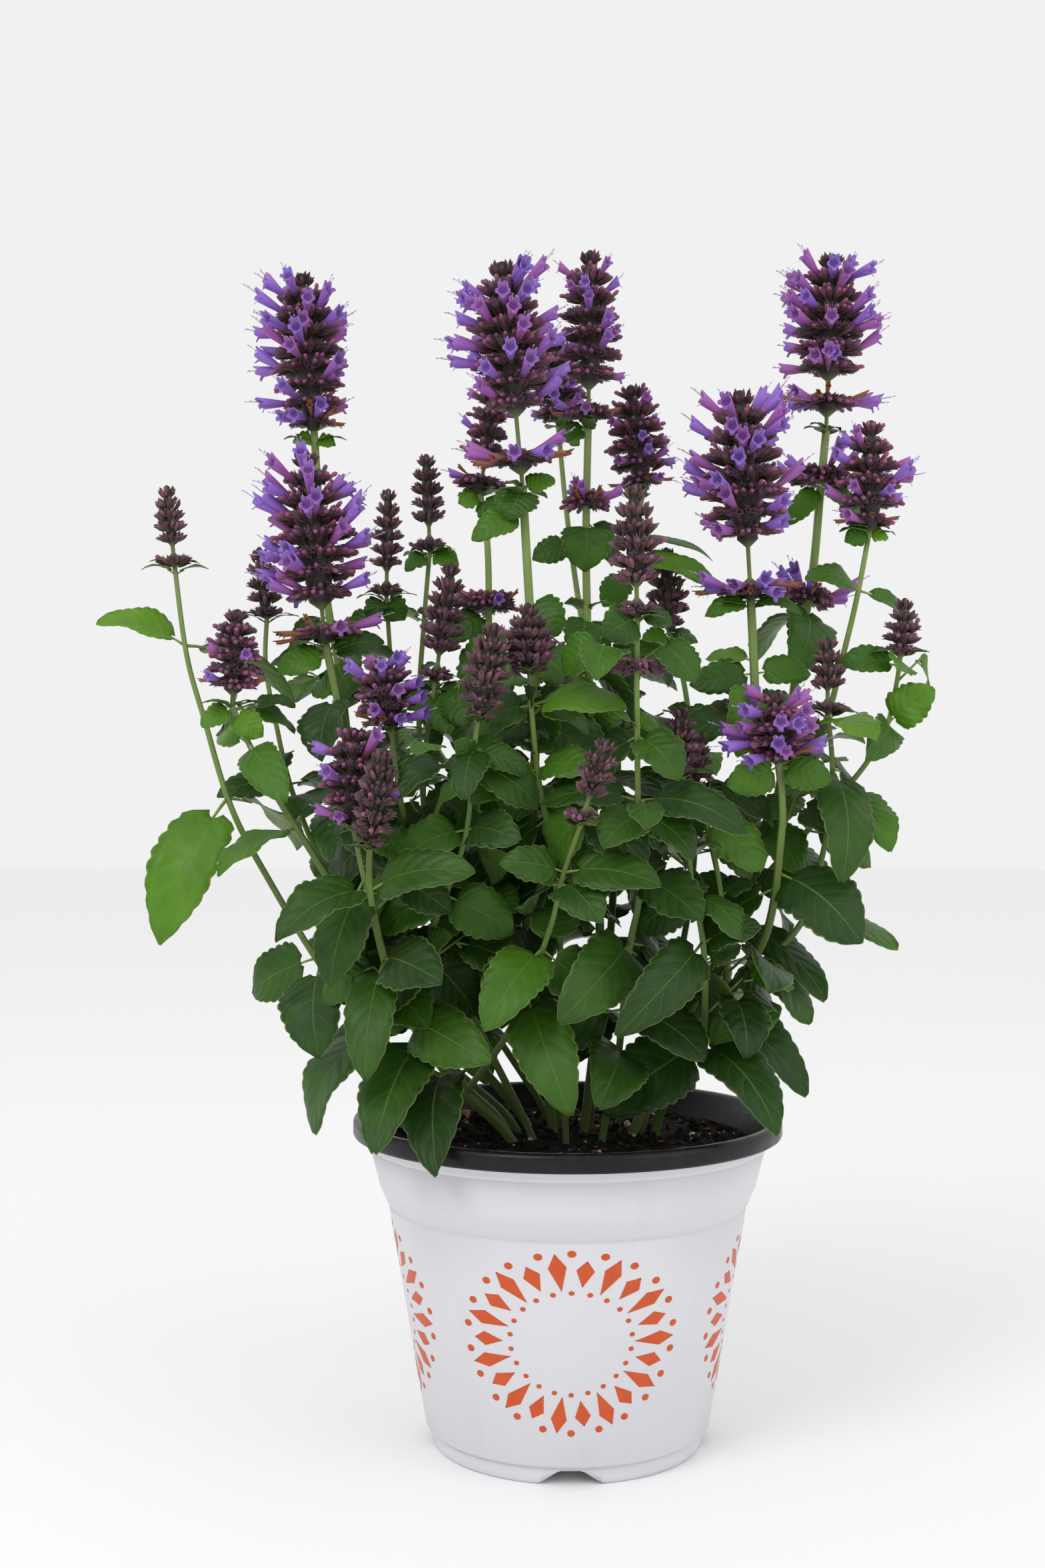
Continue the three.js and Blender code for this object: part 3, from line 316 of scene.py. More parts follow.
# Leaves keep clear of one another, by the same rule as the solids' leaves. TRIES are the lifts and turns in
# degrees that a leaf may take, and the rooms are distances.
TRIES = ((0, 12, -12, 24, -24), (0, 14, -14, 28, -28, 42, -42, 60, -60, 80, -80))
LEAF_ROOM = 4.2
STEM_ROOM = 2.4
WHORL_ROOM = 1
OWN_ROOM = 2
STEM_SAMPLES = 14
HEAD_ROOM = 1.5
HEAD_SAMPLES = 8
HEAD_START = 0.6
POT_RADIUS = 104
POT_TOP = 156
SOIL_RADIUS = 88
SOIL_TOP = 141
SOIL_ROOM = 5
MOST_ROOM = 24
BLADE_SAMPLES = ((0.17, 0), (0.26, 0.75), (0.38, 0.95), (0.5, 0.9), (0.62, 0.75), (0.75, 0.5), (0.88, 0.25),
                 (1, 0))
SAMPLE_SHARES, SAMPLE_SIDES = np.array([
    (share, side * spread) for share, spread in BLADE_SAMPLES
    for side in ((-1, -0.5, 0, 0.5, 1) if spread else (0,))]).T


class Room:
    """The places already taken, each with the room it needs and the stem it belongs to."""

    MOST = 40000

    def __init__(self):
        self.at, self.room = np.zeros((self.MOST, 3)), np.zeros(self.MOST)
        self.owner = np.full(self.MOST, -1)
        self.count = 0
        self.owners = {name: number for number, name in enumerate(SHOOTS)}

    def take(self, points, room, owner=None):
        points = np.atleast_2d(points)
        new = slice(self.count, self.count + len(points))
        self.at[new], self.room[new] = points, room
        self.owner[new] = self.owners[owner] if owner else -1
        self.count += len(points)

    def is_clear(self, leaf, samples, owner, slack):
        """Whether a leaf's samples keep their distance from the pot, the soil and all that is taken."""
        radius = np.hypot(samples[:, 0], samples[:, 1])
        floor = np.where(radius < SOIL_RADIUS, SOIL_TOP + SOIL_ROOM, POT_TOP)
        if np.any((radius < POT_RADIUS) & (samples[:, 2] < floor)):
            return False
        reach = leaf.length * 0.6 + leaf.width / 2 + MOST_ROOM
        away = self.at[:self.count] - leaf.middle
        close = np.einsum("ij,ij->i", away, away) < reach ** 2
        own = self.owner[:self.count][close] == self.owners[owner]
        room = self.room[:self.count][close] - np.where(own, OWN_ROOM, 0) - slack
        distance = np.sum((samples[:, None] - self.at[:self.count][close][None]) ** 2, axis=2)
        return bool(np.all(distance > room ** 2))

    def settle(self, leaf, owner, slack=0.0, tries=TRIES):
        """The leaf lifted and turned until it is clear, or None."""
        for lift in tries[0]:
            for turn in tries[1]:
                tried = leaf.turned(turn, lift)
                samples = tried.at(SAMPLE_SHARES, SAMPLE_SIDES * leaf.width / 2)
                if self.is_clear(tried, samples, owner, slack):
                    self.take(samples, LEAF_ROOM)
                    return tried
        return None


def claim_room():
    """Stems, heads and whorls take their room before any leaf."""
    room = Room()
    for name, shoot in SHOOTS.items():
        path = shoot["path"]
        for i in range((len(path) - 1) * STEM_SAMPLES + 1):
            place = i / STEM_SAMPLES
            room.take(along(path, place), thickness_at(shoot, place) + STEM_ROOM, root_of(name))
        reach = shoot.get("bloom", max(shoot["rows"])) + HEAD_ROOM
        top, tip = point(path[-1]), point(shoot["tip"])
        for i in range(HEAD_SAMPLES + 1):
            room.take(top + (tip - top) * (i + HEAD_START) / (HEAD_SAMPLES + HEAD_START), reach)
        for place, radius in shoot.get("whorls", ()):
            room.take(along(path, place), radius + WHORL_ROOM)
    return room


# Opposite pairs of leaves: the solids' turn, width, facing and rise, where a long pair droops
NODE_RISE = 0.12
PAIR_TURN = 0.35
PAIR_WIDTH = 0.5
PAIR_FACING = 0.15
LONG_LEAF = 30
LONG_LEAF_RISE = -0.1
SHORT_LEAF_RISE = 0.25


def placed_leaves(shoot):
    return [Leaf(along(shoot["path"], place + NODE_RISE), tip, width, facing)
            for place, tip, width, facing in shoot.get("leaves", ())]


def pair(shoot, place, length, order, width=PAIR_WIDTH, rise=None, turn=0.0):
    """Two opposite leaves; every pair stands square to the pair below it."""
    base = along(shoot["path"], place + NODE_RISE)
    if rise is None:
        rise = LONG_LEAF_RISE if length > LONG_LEAF else SHORT_LEAF_RISE
    first = math.atan2(base[1], base[0]) + PAIR_TURN
    angles = [first + half + (math.pi / 2 if order % 2 else 0) + turn for half in (0, math.pi)]
    return [Leaf(base, base + heading(angle, rise) * length, length * width, PAIR_FACING)
            for angle in angles]


def pair_leaves(shoot):
    return [leaf for order, (place, length) in enumerate(shoot.get("pairs", ()))
            for leaf in pair(shoot, place, length, order)]


# More leaves than the solids have: at nodes up each stem, a drooping pair and the small leaves of its side
# buds, and short side twigs with leaves of their own. Lengths fall with height. Each of NODES and TWIGS is
# the lowest, the highest and the spacing between, and each pair of numbers in brackets is a range.
NODES = (188, 392, 29)
TWIGS = (200, 372, 64)
SPACING_RANGE = (0.85, 1.2)
CLEAR_OF_FORK = 0.6
LENGTH_BY_HEIGHT = ((188, 230, 290, 350, 392), (50, 48, 44, 38, 30))
LENGTH_RANGE = (0.82, 1.12)
WIDTH_BY_LENGTH = ((12, 50), (0.74, 0.58))
THIN_STEM = 1.9
THIN_STEM_SHARE = 0.78
LONG_FILL = 24
LONG_FILL_DROOP = (0.3, 1.15)
SHORT_FILL_RISE = (-0.6, 0.3)
FILL_TURN = (-0.4, 0.4)
FILL_SLACK = 1.7
FILL_TRIES = ((0, -14), (0, 22, -22, 50, -50))
BUD_LEAF_SHARE = 0.45
BUD_LEAF_ABOVE = 0.05
BUD_LEAF_RISE = 0.5
TWIG_RADIUS = 0.75
TWIG_TURN = (-0.6, 0.6)
TWIG_RISE = (0.3, 1.1)
TWIG_LENGTH = (16, 34)
TWIG_LEAF_SHARE = 0.78
TWIG_PAIR_AT = 0.7
TWIG_PAIR_TURN = (0.7, 1.3)
TWIG_PAIR_RISE = (-1.0, -0.1)
TWIG_END_SHARE = 0.7
TWIG_END_RISE = (-0.7, 0.1)
TWIG_FACING = 0.2
KEPT_BY_HEIGHT = ((180, 320), (0.26, 0.88))
PLANT_MIDDLE = -15
KEPT_BY_DISTANCE = ((60, 110), (1.0, 0.12))
BOX_SLACK = 6


def nodes_up(shoot, low, high, spacing, chance):
    """Places on a stem, a spacing apart in height, between two heights."""
    path = shoot["path"]
    height = low + chance.uniform(0, spacing / 2)
    for step in range((len(path) - 1) * STEM_SAMPLES):
        place = step / STEM_SAMPLES
        top = along(path, place)[2]
        if height <= top <= high and not ("on" in shoot and place < CLEAR_OF_FORK):
            height = top + spacing * chance.uniform(*SPACING_RANGE)
            yield place, top


def length_at(height, chance):
    return float(np.interp(height, *LENGTH_BY_HEIGHT)) * chance.uniform(*LENGTH_RANGE)


def blade_width(length):
    """A leaf's width as a share of its length with its stalk: small leaves are rounder."""
    return float(np.interp(length, *WIDTH_BY_LENGTH))


def fill_leaves(shoot, chance):
    """Candidate leaves between the ones that the solids hold, from the lowest node up."""
    made = []
    for order, (place, height) in enumerate(nodes_up(shoot, *NODES, chance)):
        length = length_at(height, chance)
        if thickness_at(shoot, place) < THIN_STEM:
            length *= THIN_STEM_SHARE
        long = length > LONG_FILL
        rise = -chance.uniform(*LONG_FILL_DROOP) if long else chance.uniform(*SHORT_FILL_RISE)
        turn = chance.uniform(*FILL_TURN)
        made += pair(shoot, place, length, order, blade_width(length), rise, turn)
        small = length * BUD_LEAF_SHARE
        made += pair(shoot, place + BUD_LEAF_ABOVE, small, order + 1, blade_width(small), BUD_LEAF_RISE,
                     turn)
    return made


# Leaves placed after the photo, most of them pairs under heads and whorls that stand clear of the rest:
# (place, leaf tip, width, how far it faces the front)
EXTRA_LEAVES = {
    "mid_tall": [(5.9, (9, 23, 414), 24, 0.95), (5.9, (26, 38, 418), 17, 0.7), (6.9, (-5, 27, 478), 11, 0.8)],
    "front_bud": [(7.0, (15, -77, 374), 18, 0.9), (7.0, (45, -67, 381), 12, 0.5)],
    "mid_right_back": [(5.3, (77, 73, 426), 10, 0.5), (5.1, (81, 62, 409), 14, 0.7),
        (4.9, (20, 61, 400), 15, 0.7)],
    "right_bloom": [(6.0, (65, -4, 390), 11, 0.5), (6.0, (111, -4, 391), 10, 0.5),
        (5.4, (66, 6, 370), 12, 0.5), (5.3, (58, -5, 356), 16, 0.8), (5.3, (116, 2, 362), 15, 0.7)],
    "right_tall": [(7.1, (111, 48, 439), 11, 0.6), (7.1, (150, 49, 439), 12, 0.7),
        (5.6, (115, 39, 370), 19, 0.9)],
    "right_tall_low": [(5.0, (133, 7, 425), 10, 0.8), (4.9, (154, 9, 428), 9, 0.6)],
    "mid_bloom_high": [(6.0, (-27, -18, 433), 20, 0.95), (6.0, (-6, -7, 453), 12, 0.6),
        (5.7, (-45, -14, 424), 14, 0.8), (5.0, (-4, -15, 379), 20, 0.8)],
    "mid_back": [(5.9, (-54, 72, 453), 12, 0.8), (5.9, (-30, 70, 439), 14, 0.8),
        (4.4, (-60, 60, 382), 18, 0.8)],
    "left_back_bud": [(3.9, (-100, 56, 393), 12, 0.7), (3.9, (-81, 56, 392), 13, 0.8)],
    "left_bloom_high": [(5.9, (-136, 51, 481), 9, 0.7), (5.9, (-115, 53, 479), 9, 0.6)],
    "left_bloom_low": [(5.8, (-137, -8, 363), 14, 0.8), (5.8, (-87, -1, 378), 15, 0.7)],
    "back_left_bud": [(5.9, (-82, 77, 420), 12, 0.7), (5.9, (-54, 77, 423), 12, 0.7)],
    "left_mixed": [(6.8, (-141, -30, 331), 13, 0.7), (6.9, (-169, -28, 336), 12, 0.7)],
    "mid_tall_back": [(2.8, (8, 74, 483), 10, 0.7), (1.5, (-16, 62, 423), 15, 0.8)],
    "right_front_bloom": [(4.8, (71, -52, 308), 17, 0.9), (4.8, (117, -50, 311), 16, 0.9)],
    "inner_left_bud": [(4.8, (-76, 6, 345), 15, 0.8), (4.8, (-44, 7, 347), 15, 0.8)],
    "dark_bud": [(5.9, (40, 73, 378), 13, 0.8), (5.9, (69, 77, 382), 12, 0.6)],
}


class Twig:
    """A short side shoot with two pairs of leaves and one at its end."""

    def __init__(self, base, angle, rise, length, leaf_length, chance):
        reach = heading(angle, rise)
        self.base, self.tip = base, base + reach * length
        at = self.base + reach * length * TWIG_PAIR_AT
        self.leaves = []
        for side in (-1, 1):
            way = angle + side * chance.uniform(*TWIG_PAIR_TURN)
            tip = at + heading(way, chance.uniform(*TWIG_PAIR_RISE)) * leaf_length
            self.leaves.append(Leaf(at, tip, leaf_length * blade_width(leaf_length), TWIG_FACING))
        end_length = leaf_length * TWIG_END_SHARE
        end = heading(angle, chance.uniform(*TWIG_END_RISE)) * leaf_length * TWIG_END_SHARE
        width = end_length * blade_width(end_length)
        self.leaves.append(Leaf(self.tip, self.tip + end, width, TWIG_FACING))


def twigs_of(shoot, chance):
    made = []
    for order, (place, height) in enumerate(nodes_up(shoot, *TWIGS, chance)):
        base = along(shoot["path"], place)
        for half in (0, math.pi):
            angle = order * math.pi / 2 + half + chance.uniform(*TWIG_TURN)
            made.append(Twig(base, angle, chance.uniform(*TWIG_RISE), chance.uniform(*TWIG_LENGTH),
                             length_at(height, chance) * TWIG_LEAF_SHARE, chance))
    return made


def share_kept(base):
    """Fewer leaves fill in low down and at the outside, where stems show between them."""
    low = float(np.interp(base[2], *KEPT_BY_HEIGHT))
    return low * float(np.interp(abs(base[0] - PLANT_MIDDLE), *KEPT_BY_DISTANCE))


def inside_box(at):
    """Whether a point stays about inside the solids' box, in millimetres."""
    low, high = (np.array(corner) / MM for corner in CAD_BOX)
    return bool(np.all(at > low - BOX_SLACK) and np.all(at < high + BOX_SLACK))


def settle_leaves():
    """Every shoot's leaves and twigs: the leaves of the solids first, then what fills in between."""
    room = claim_room()
    settled = {name: [] for name in SHOOTS}
    twigs = {name: [] for name in SHOOTS}

    def fill(name, leaves):
        placed = [room.settle(leaf, root_of(name), FILL_SLACK, FILL_TRIES) for leaf in leaves]
        placed = [leaf for leaf in placed if leaf and inside_box(leaf.tip)]
        settled[name] += placed
        return placed

    for leaves_of in (placed_leaves, pair_leaves):
        for name, shoot in SHOOTS.items():
            leaves = [room.settle(leaf, root_of(name)) for leaf in leaves_of(shoot)]
            settled[name] += [leaf for leaf in leaves if leaf]
    chance = np.random.default_rng(SEED)
    candidates = [(name, leaf) for name, shoot in SHOOTS.items() for leaf in fill_leaves(shoot, chance)]
    for name, leaf in sorted(candidates, key=lambda item: -item[1].length):
        if chance.uniform() <= share_kept(leaf.base):
            fill(name, [leaf])
    for name, shoot in SHOOTS.items():
        for twig in twigs_of(shoot, chance):
            if chance.uniform() <= share_kept(twig.base) and fill(name, twig.leaves):
                twigs[name].append(twig)
    return settled, twigs


class Pieces:
    """Points and faces gathered for one mesh, with two vectors on each point for its material."""

    def __init__(self):
        self.points, self.marks, self.tones = [], [], []
        self.corners, self.sizes, self.slots = [], [], []
        self.count = 0

    def add(self, points, *faces, slot=0, mark=(0, 0, 0), tone=(0.5, 0, 0)):
        points = np.asarray(points, dtype=float)
        for some in faces:
            some = np.asarray(some, dtype=int)
            self.corners.append((some + self.count).ravel())
            self.sizes.append(np.full(len(some), some.shape[1]))
            self.slots.append(np.broadcast_to(slot, len(some)))
        self.points.append(points)
        self.marks.append(np.broadcast_to(mark, points.shape))
        self.tones.append(np.broadcast_to(tone, points.shape))
        self.count += len(points)

    def build(self, name, materials):
        """The mesh object, smooth, in metres."""
        mesh = bpy.data.meshes.new(name)
        points = np.concatenate(self.points) * MM
        corners, sizes = np.concatenate(self.corners), np.concatenate(self.sizes)
        mesh.vertices.add(len(points))
        mesh.vertices.foreach_set("co", points.ravel())
        mesh.loops.add(len(corners))
        mesh.loops.foreach_set("vertex_index", corners)
        mesh.polygons.add(len(sizes))
        mesh.polygons.foreach_set("loop_start", np.concatenate(([0], np.cumsum(sizes)[:-1])))
        mesh.polygons.foreach_set("material_index", np.concatenate(self.slots))
        mesh.polygons.foreach_set("use_smooth", np.ones(len(sizes), dtype=bool))
        for key, values in (("mark", self.marks), ("tone", self.tones)):
            attribute = mesh.attributes.new(key, "FLOAT_VECTOR", "POINT")
            attribute.data.foreach_set("vector", np.concatenate(values).ravel())
        mesh.update(calc_edges=True)
        for material in materials:
            mesh.materials.append(material)
        made = bpy.data.objects.new(name, mesh)
        bpy.context.scene.collection.objects.link(made)
        return made


def grid_faces(rows, columns, closed=False):
    """Quads between the points of a grid, row by row; a closed grid joins its last column to its first."""
    spans = columns if closed else columns - 1
    row, column = np.meshgrid(np.arange(rows - 1), np.arange(spans), indexing="ij")
    beside = (column + 1) % columns
    return np.stack([row * columns + column, row * columns + beside,
                     (row + 1) * columns + beside, (row + 1) * columns + column], axis=-1).reshape(-1, 4)


def triangles(quads):
    return np.concatenate([quads[:, [0, 1, 2]], quads[:, [0, 2, 3]]])


def fan(sides, first, middle, flip=False):
    """Triangles from a ring's points, numbered from first, to the point in its middle."""
    turn = np.arange(sides) + first
    after = np.roll(turn, -1)
    return np.stack([*((after, turn) if flip else (turn, after)), np.full(sides, middle)], axis=1)


def sheet_faces(rows, columns):
    """Faces of a closed thin sheet, whose points are a grid for its top and the same for its underside."""
    grid = np.arange(rows * columns).reshape(rows, columns)
    rim = np.concatenate([grid[0], grid[1:, -1], grid[-1, -2::-1], grid[-2:0:-1, 0]])
    beside, below = np.roll(rim, -1), rows * columns
    faces = grid_faces(rows, columns)
    return np.concatenate([faces[:, ::-1], faces + below,
                           np.stack([rim, beside, beside + below, rim + below], axis=1)])


def add_tube(pieces, points, radii, section, slot, marks, tone):
    """A section swept along points with a radius and a mark at each, closed by a flat cap at both ends."""
    ahead = unit_rows(np.gradient(points, axis=0))
    across = unit_rows(np.array([1.0, 0.0, 0.0]) - ahead * ahead[:, :1])
    other = np.cross(ahead, across)
    outline = np.asarray(radii)[:, None, None] * section[None]
    rings = points[:, None] + outline[..., :1] * across[:, None] + outline[..., 1:] * other[:, None]
    count, sides = rings.shape[:2]
    last = count * sides
    marks = np.repeat(marks, sides, axis=0)
    pieces.add(np.concatenate([rings.reshape(-1, 3), points[[0, -1]]]), grid_faces(count, sides, True),
               np.concatenate([fan(sides, 0, last, True), fan(sides, last - sides, last + 1)]),
               slot=slot, mark=np.concatenate([marks, marks[[0, -1]]]), tone=tone)


def round_section(sides):
    angles = angles_round(sides)
    return np.stack([np.cos(angles), np.sin(angles)], axis=1)


def square_section(sides=16):
    """A square with rounded corners and faintly hollow sides, as a mint's stem has."""
    angles = (np.arange(sides) + 0.5) * TURN / sides
    corner = angles - math.pi / 4
    radius = 0.86 + 0.13 * np.cos(4 * corner) - 0.03 * np.cos(8 * corner)
    return np.stack([np.cos(angles) * radius, np.sin(angles) * radius], axis=1)


# A blade's outline: half its width at shares of its length, and the teeth along it. TEETH is a leaf's length
# and how many teeth a longer one has.
OUTLINE = ((0, 0.03, 0.08, 0.16, 0.3, 0.45, 0.6, 0.74, 0.86, 0.94, 1),
           (0.22, 0.57, 0.82, 0.96, 1, 0.985, 0.91, 0.75, 0.53, 0.32, 0.07))
COLUMNS = np.array([-1, -0.64, -0.3, 0, 0.3, 0.64, 1])
FEW_COLUMNS = np.array([-1, -0.55, 0, 0.55, 1])
FEW_UNDER = 29
TEETH = ((40, 8), (24, 6), (16, 5), (0, 3))
TOOTH = np.array([-0.7, 0.35, 0.5])
TOOTH_DEPTH = 0.075
TEETH_OF_DEPTH = 7
BLADE_SPREAD = 1.07
BLADE_FROM = 0.18
HALF_BLADE = 0.13
HEART = 0.05
HEART_POWER = 7
WAVES = (1.1, 2.2)
WAVE_HEIGHT = 0.05
FOLD = (-0.2, 0.08)
DROOP = 0.09
DROOP_RANGE = (0.4, 2.0)
# A stalk is thicker on a longer leaf, thins towards the blade and runs on a little way under it.
STALK_RADIUS = 0.6
STALK_BY_LENGTH = (0.55, 90)
STALK_TAPER = np.linspace(1.25, 0.6, 4)
STALK_END = 1.5
STALK_SIDES = 5


def add_blade(pieces, leaf, shift, chance, shade):
    """A closed thin blade with teeth, folded along its midrib, waved at its margin and drooping."""
    teeth = next(number for length, number in TEETH if leaf.length > length)
    stations = teeth * 3 + 2
    u = np.linspace(0, 1, stations)[:, None]
    v = (FEW_COLUMNS if leaf.length < FEW_UNDER else COLUMNS)[None]
    tooth = (TOOTH[np.arange(stations) % 3] * TOOTH_DEPTH * TEETH_OF_DEPTH / teeth)[:, None]
    reach = np.interp(u, *OUTLINE) * (1 + tooth * (np.abs(v) == 1)) * v * leaf.width / 2 * BLADE_SPREAD
    share = BLADE_FROM + (1 - BLADE_FROM) * u - HEART * v ** 2 * (1 - u) ** HEART_POWER
    waves, phase, other = chance.uniform(*WAVES), chance.uniform(0, 1), chance.uniform(0, 1)
    rise = leaf.width * WAVE_HEIGHT * v ** 2 * np.sin(TURN * (waves * u + np.where(v > 0, phase, other)))
    rise = rise + np.abs(reach) * chance.uniform(*FOLD)
    rise = rise - DROOP * leaf.length * u ** 3 * chance.uniform(*DROOP_RANGE)
    middle = leaf.at(share, reach) + shift + rise[..., None] * leaf.up
    sides = [(middle + way * HALF_BLADE * leaf.up).reshape(-1, 3) for way in (1, -1)]
    mark = np.stack(np.broadcast_arrays(u, v, 0), axis=-1).reshape(-1, 3)
    random = chance.uniform()
    tone = np.repeat([(shade, under, random) for under in (0, 1)], len(mark), axis=0)
    pieces.add(np.concatenate(sides), sheet_faces(stations, v.size), slot=LEAFY_SLOTS["leaf"],
               mark=np.tile(mark, (2, 1)), tone=tone)


def add_leaf(pieces, leaf, shift, chance, shade):
    """A blade and its stalk."""
    add_blade(pieces, leaf, shift, chance, shade)
    count = len(STALK_TAPER)
    points = leaf.at(np.linspace(0, BLADE_FROM * STALK_END, count), 0)
    points = points + shift - leaf.up * (HALF_BLADE + STALK_RADIUS * 0.5)
    radii = STALK_RADIUS * (STALK_BY_LENGTH[0] + leaf.length / STALK_BY_LENGTH[1]) * STALK_TAPER
    # The stalk's green follows its leaf's painted light and shade: lighter where the leaf is lit, darker
    # where it is shaded.
    add_tube(pieces, points, radii, round_section(STALK_SIDES), LEAFY_SLOTS["stem"],
             np.full((count, 3), (0.6 + 0.35 * shade, 0, 0)), (shade, 0, chance.uniform()))


def add_copies(pieces, form, frames, sizes, origins, slot, tones):
    """A small form once for every frame: its own x, y and z scaled, turned and moved there."""
    points, faces, along_it = form
    count, number = len(points), len(frames)
    if not number:
        return
    copies = np.einsum("mij,mnj->mni", frames, points[None] * sizes[:, None]) + origins[:, None]
    moved = (faces[None] + count * np.arange(number)[:, None, None]).reshape(-1, 3)
    pieces.add(copies.reshape(-1, 3), moved, slot=slot, mark=np.outer(np.tile(along_it, number), (1, 0, 0)),
               tone=np.repeat(tones, count, axis=0))


NEARLY_UP = 0.98


def frames_for(directions):
    """Right-angled frames whose z is the direction and whose y is as near up as it can be."""
    z = unit_rows(directions)
    x = unit_rows(np.cross(np.where(np.abs(z[:, 2:]) > NEARLY_UP, (0.0, 1.0, 0.0), UP), z))
    return np.stack([x, np.cross(z, x), z], axis=2)


# Small forms: points, triangles and how far along the form each point is, for its material
def ring_form(sides, rings, end):
    """A closed form round z from rings, each with its radii, heights and place along the form."""
    angles = angles_round(sides) + math.pi / 2
    count = len(rings) * sides
    points = [ring(angles, radii, heights) for radii, heights, _ in rings]
    points.append([(0, 0, rings[0][1]), (0, 0, end)])
    places = [place for _, _, place in rings]
    faces = [triangles(grid_faces(len(rings), sides, True)), fan(sides, 0, count, True),
             fan(sides, count - sides, count + 1)]
    return (np.concatenate(points), np.concatenate(faces),
            np.concatenate([np.repeat(places, sides), [places[0], places[-1]]]))


def calyx_form():
    """A tube, 1 long and 1 in radius, that opens in five short teeth."""
    teeth = 5
    turn = np.arange(teeth)
    after = np.roll(turn, -1)
    angles = angles_round(teeth) + math.pi / 2
    between = angles + math.pi / teeth
    rings = [(angles, 0.42, 0.0, 0.0), (angles, 1.0, 0.45, 0.4), (angles, 1.18, 1.1, 1.0),
             (between, 0.92, 0.78, 0.8)]
    circles = [ring(at, radius, height) for at, radius, height, _ in rings]
    points = np.concatenate([*circles, [(0, 0, 0.55)]])
    places = np.concatenate([np.repeat([place for *_, place in rings], teeth), [1.3]])
    foot, waist, tip, notch = (turn + teeth * number for number in range(len(rings)))
    throat = np.full(teeth, teeth * len(rings))
    faces = [(foot, foot[after], waist[after]), (foot, waist[after], waist), (waist, waist[after], notch),
             (waist, notch, tip), (waist[after], tip[after], notch), (tip, notch, throat),
             (notch, tip[after], throat)]
    faces = [np.stack(corners, axis=1) for corners in faces] + [[(0, 2, 1), (0, 3, 2), (0, 4, 3)]]
    return points, np.concatenate(faces), places


def flower_form(sides=15):
    """A two-lipped flower: a slim tube that widens and opens in two upper lobes and three lower ones."""
    angles = angles_round(sides)
    lobes = 0.5 + 0.5 * np.cos(5 * angles + math.pi)
    upper = np.clip(np.cos(angles), 0, 1)
    lower = np.clip(-np.cos(angles), 0, 1)
    mouth = 1.55 + 1.9 * lobes * (0.5 + lower * 0.7)
    lip = 0.87 + 0.1 * lobes + 0.12 * upper - 0.08 * lower
    return ring_form(sides, [(0.8, 0.0, 0.0), (1.15, 0.33, 0.35), (1.65, 0.62, 0.6), (1.9, 0.82, 0.75),
                             (mouth, lip, 1.0), (1.25, 0.8, 1.12)], 0.66)


def stamen_form():
    """Two thin threads that reach out of the flower, each with its anther."""
    threads = []
    for number, (side, reach) in enumerate(((-0.35, 1.28), (0.3, 1.18))):
        rings = [(0.1, 0.75, 0.2), (0.1, reach - 0.03, 0.6), (0.28, reach + 0.02, 1.0)]
        points, faces, places = ring_form(3, rings, reach + 0.07)
        points = points + np.array([side, 0.35, 0]) * np.clip(points[:, 2:], 0, 1.2) * 1.6
        threads.append((points, faces + number * len(points), places))
    return tuple(np.concatenate(parts) for parts in zip(*threads))


CALYX = calyx_form()
CLOSED_CALYX = ring_form(5, [(0.45, 0.0, 0.0), (1.0, 0.4, 0.4), (0.9, 0.78, 0.8)], 1.12)
BUD = ring_form(6, [(0.5, 0.0, 0.0), (0.62, 0.45, 0.4), (1.0, 0.76, 0.7), (0.7, 0.94, 0.9)], 1.0)
FLOWER = flower_form()
STAMENS = stamen_form()

# Heads: how thick the calyces stand, how long they are and how they lean, in millimetres, degrees and
# shares. A pair of numbers in brackets is a range.
GAP_SHARE = 0.6
GAP_RADIUS = 6
SQUARE_TO = (0.31, 0.95, 0)
CALYX_SPACING = 2.35
CALYX_CIRCLE = 0.62
FEWEST_CALYCES = 4
CALYX_TIP_SHARE = 0.78
CALYX_LENGTH = 2.9
CALYX_LENGTH_SHARE = 0.44
CALYX_LENGTHS = (0.88, 1.06)
CORE_ROOM = 0.7
LEAST_LEVEL = 0.3
LEAN_POWER = 2.2
LEAN_SPREAD = 0.2
TURN_SPREAD = 0.28
RISE_SPREAD = 0.5
FLOWER_LEAN = (-12, 26)
FLOWER_REACHES = (0.75, 1.12)
BUD_REACHES = (0.1, 1.0)
BUD_REACH_POWER = 1.6
# How far up its calyx a flower and a bud begin, and the reach of a dried flower as a share of an open one's
MOUTH_AT = 0.5
BUD_FROM = 0.62
DRIED_REACH = 0.9
# Small forms: radius, the length at which it is that, and how far it may thin or thicken with length
CALYX_SIZE = (1.32, 7, 0.6, 1.05)
FLOWER_SIZE = (1.32, 13, 0.8, 1.12)
BUD_SIZE = (1.45, 13, 0.8, 1.12)
DRIED_SIZE = (0.6, 13, 0.8, 1.12)
# What the third number of a petal's tone says beyond its share of the head: a stamen, or a dried flower
STAMEN_TONE = 10
DRIED_TONE = 20
# Two rings of calyces in each whorl: where, how far out and how much more upright
SUB_ROWS = ((0.5, 1.0, -8), (0.78, 0.76, 14))


def is_bare(rows, i):
    """Whether a row is a gap in the head, where its stem shows."""
    return rows[i] < GAP_SHARE * max(rows) and rows[i] <= GAP_RADIUS and i < len(rows) - 2


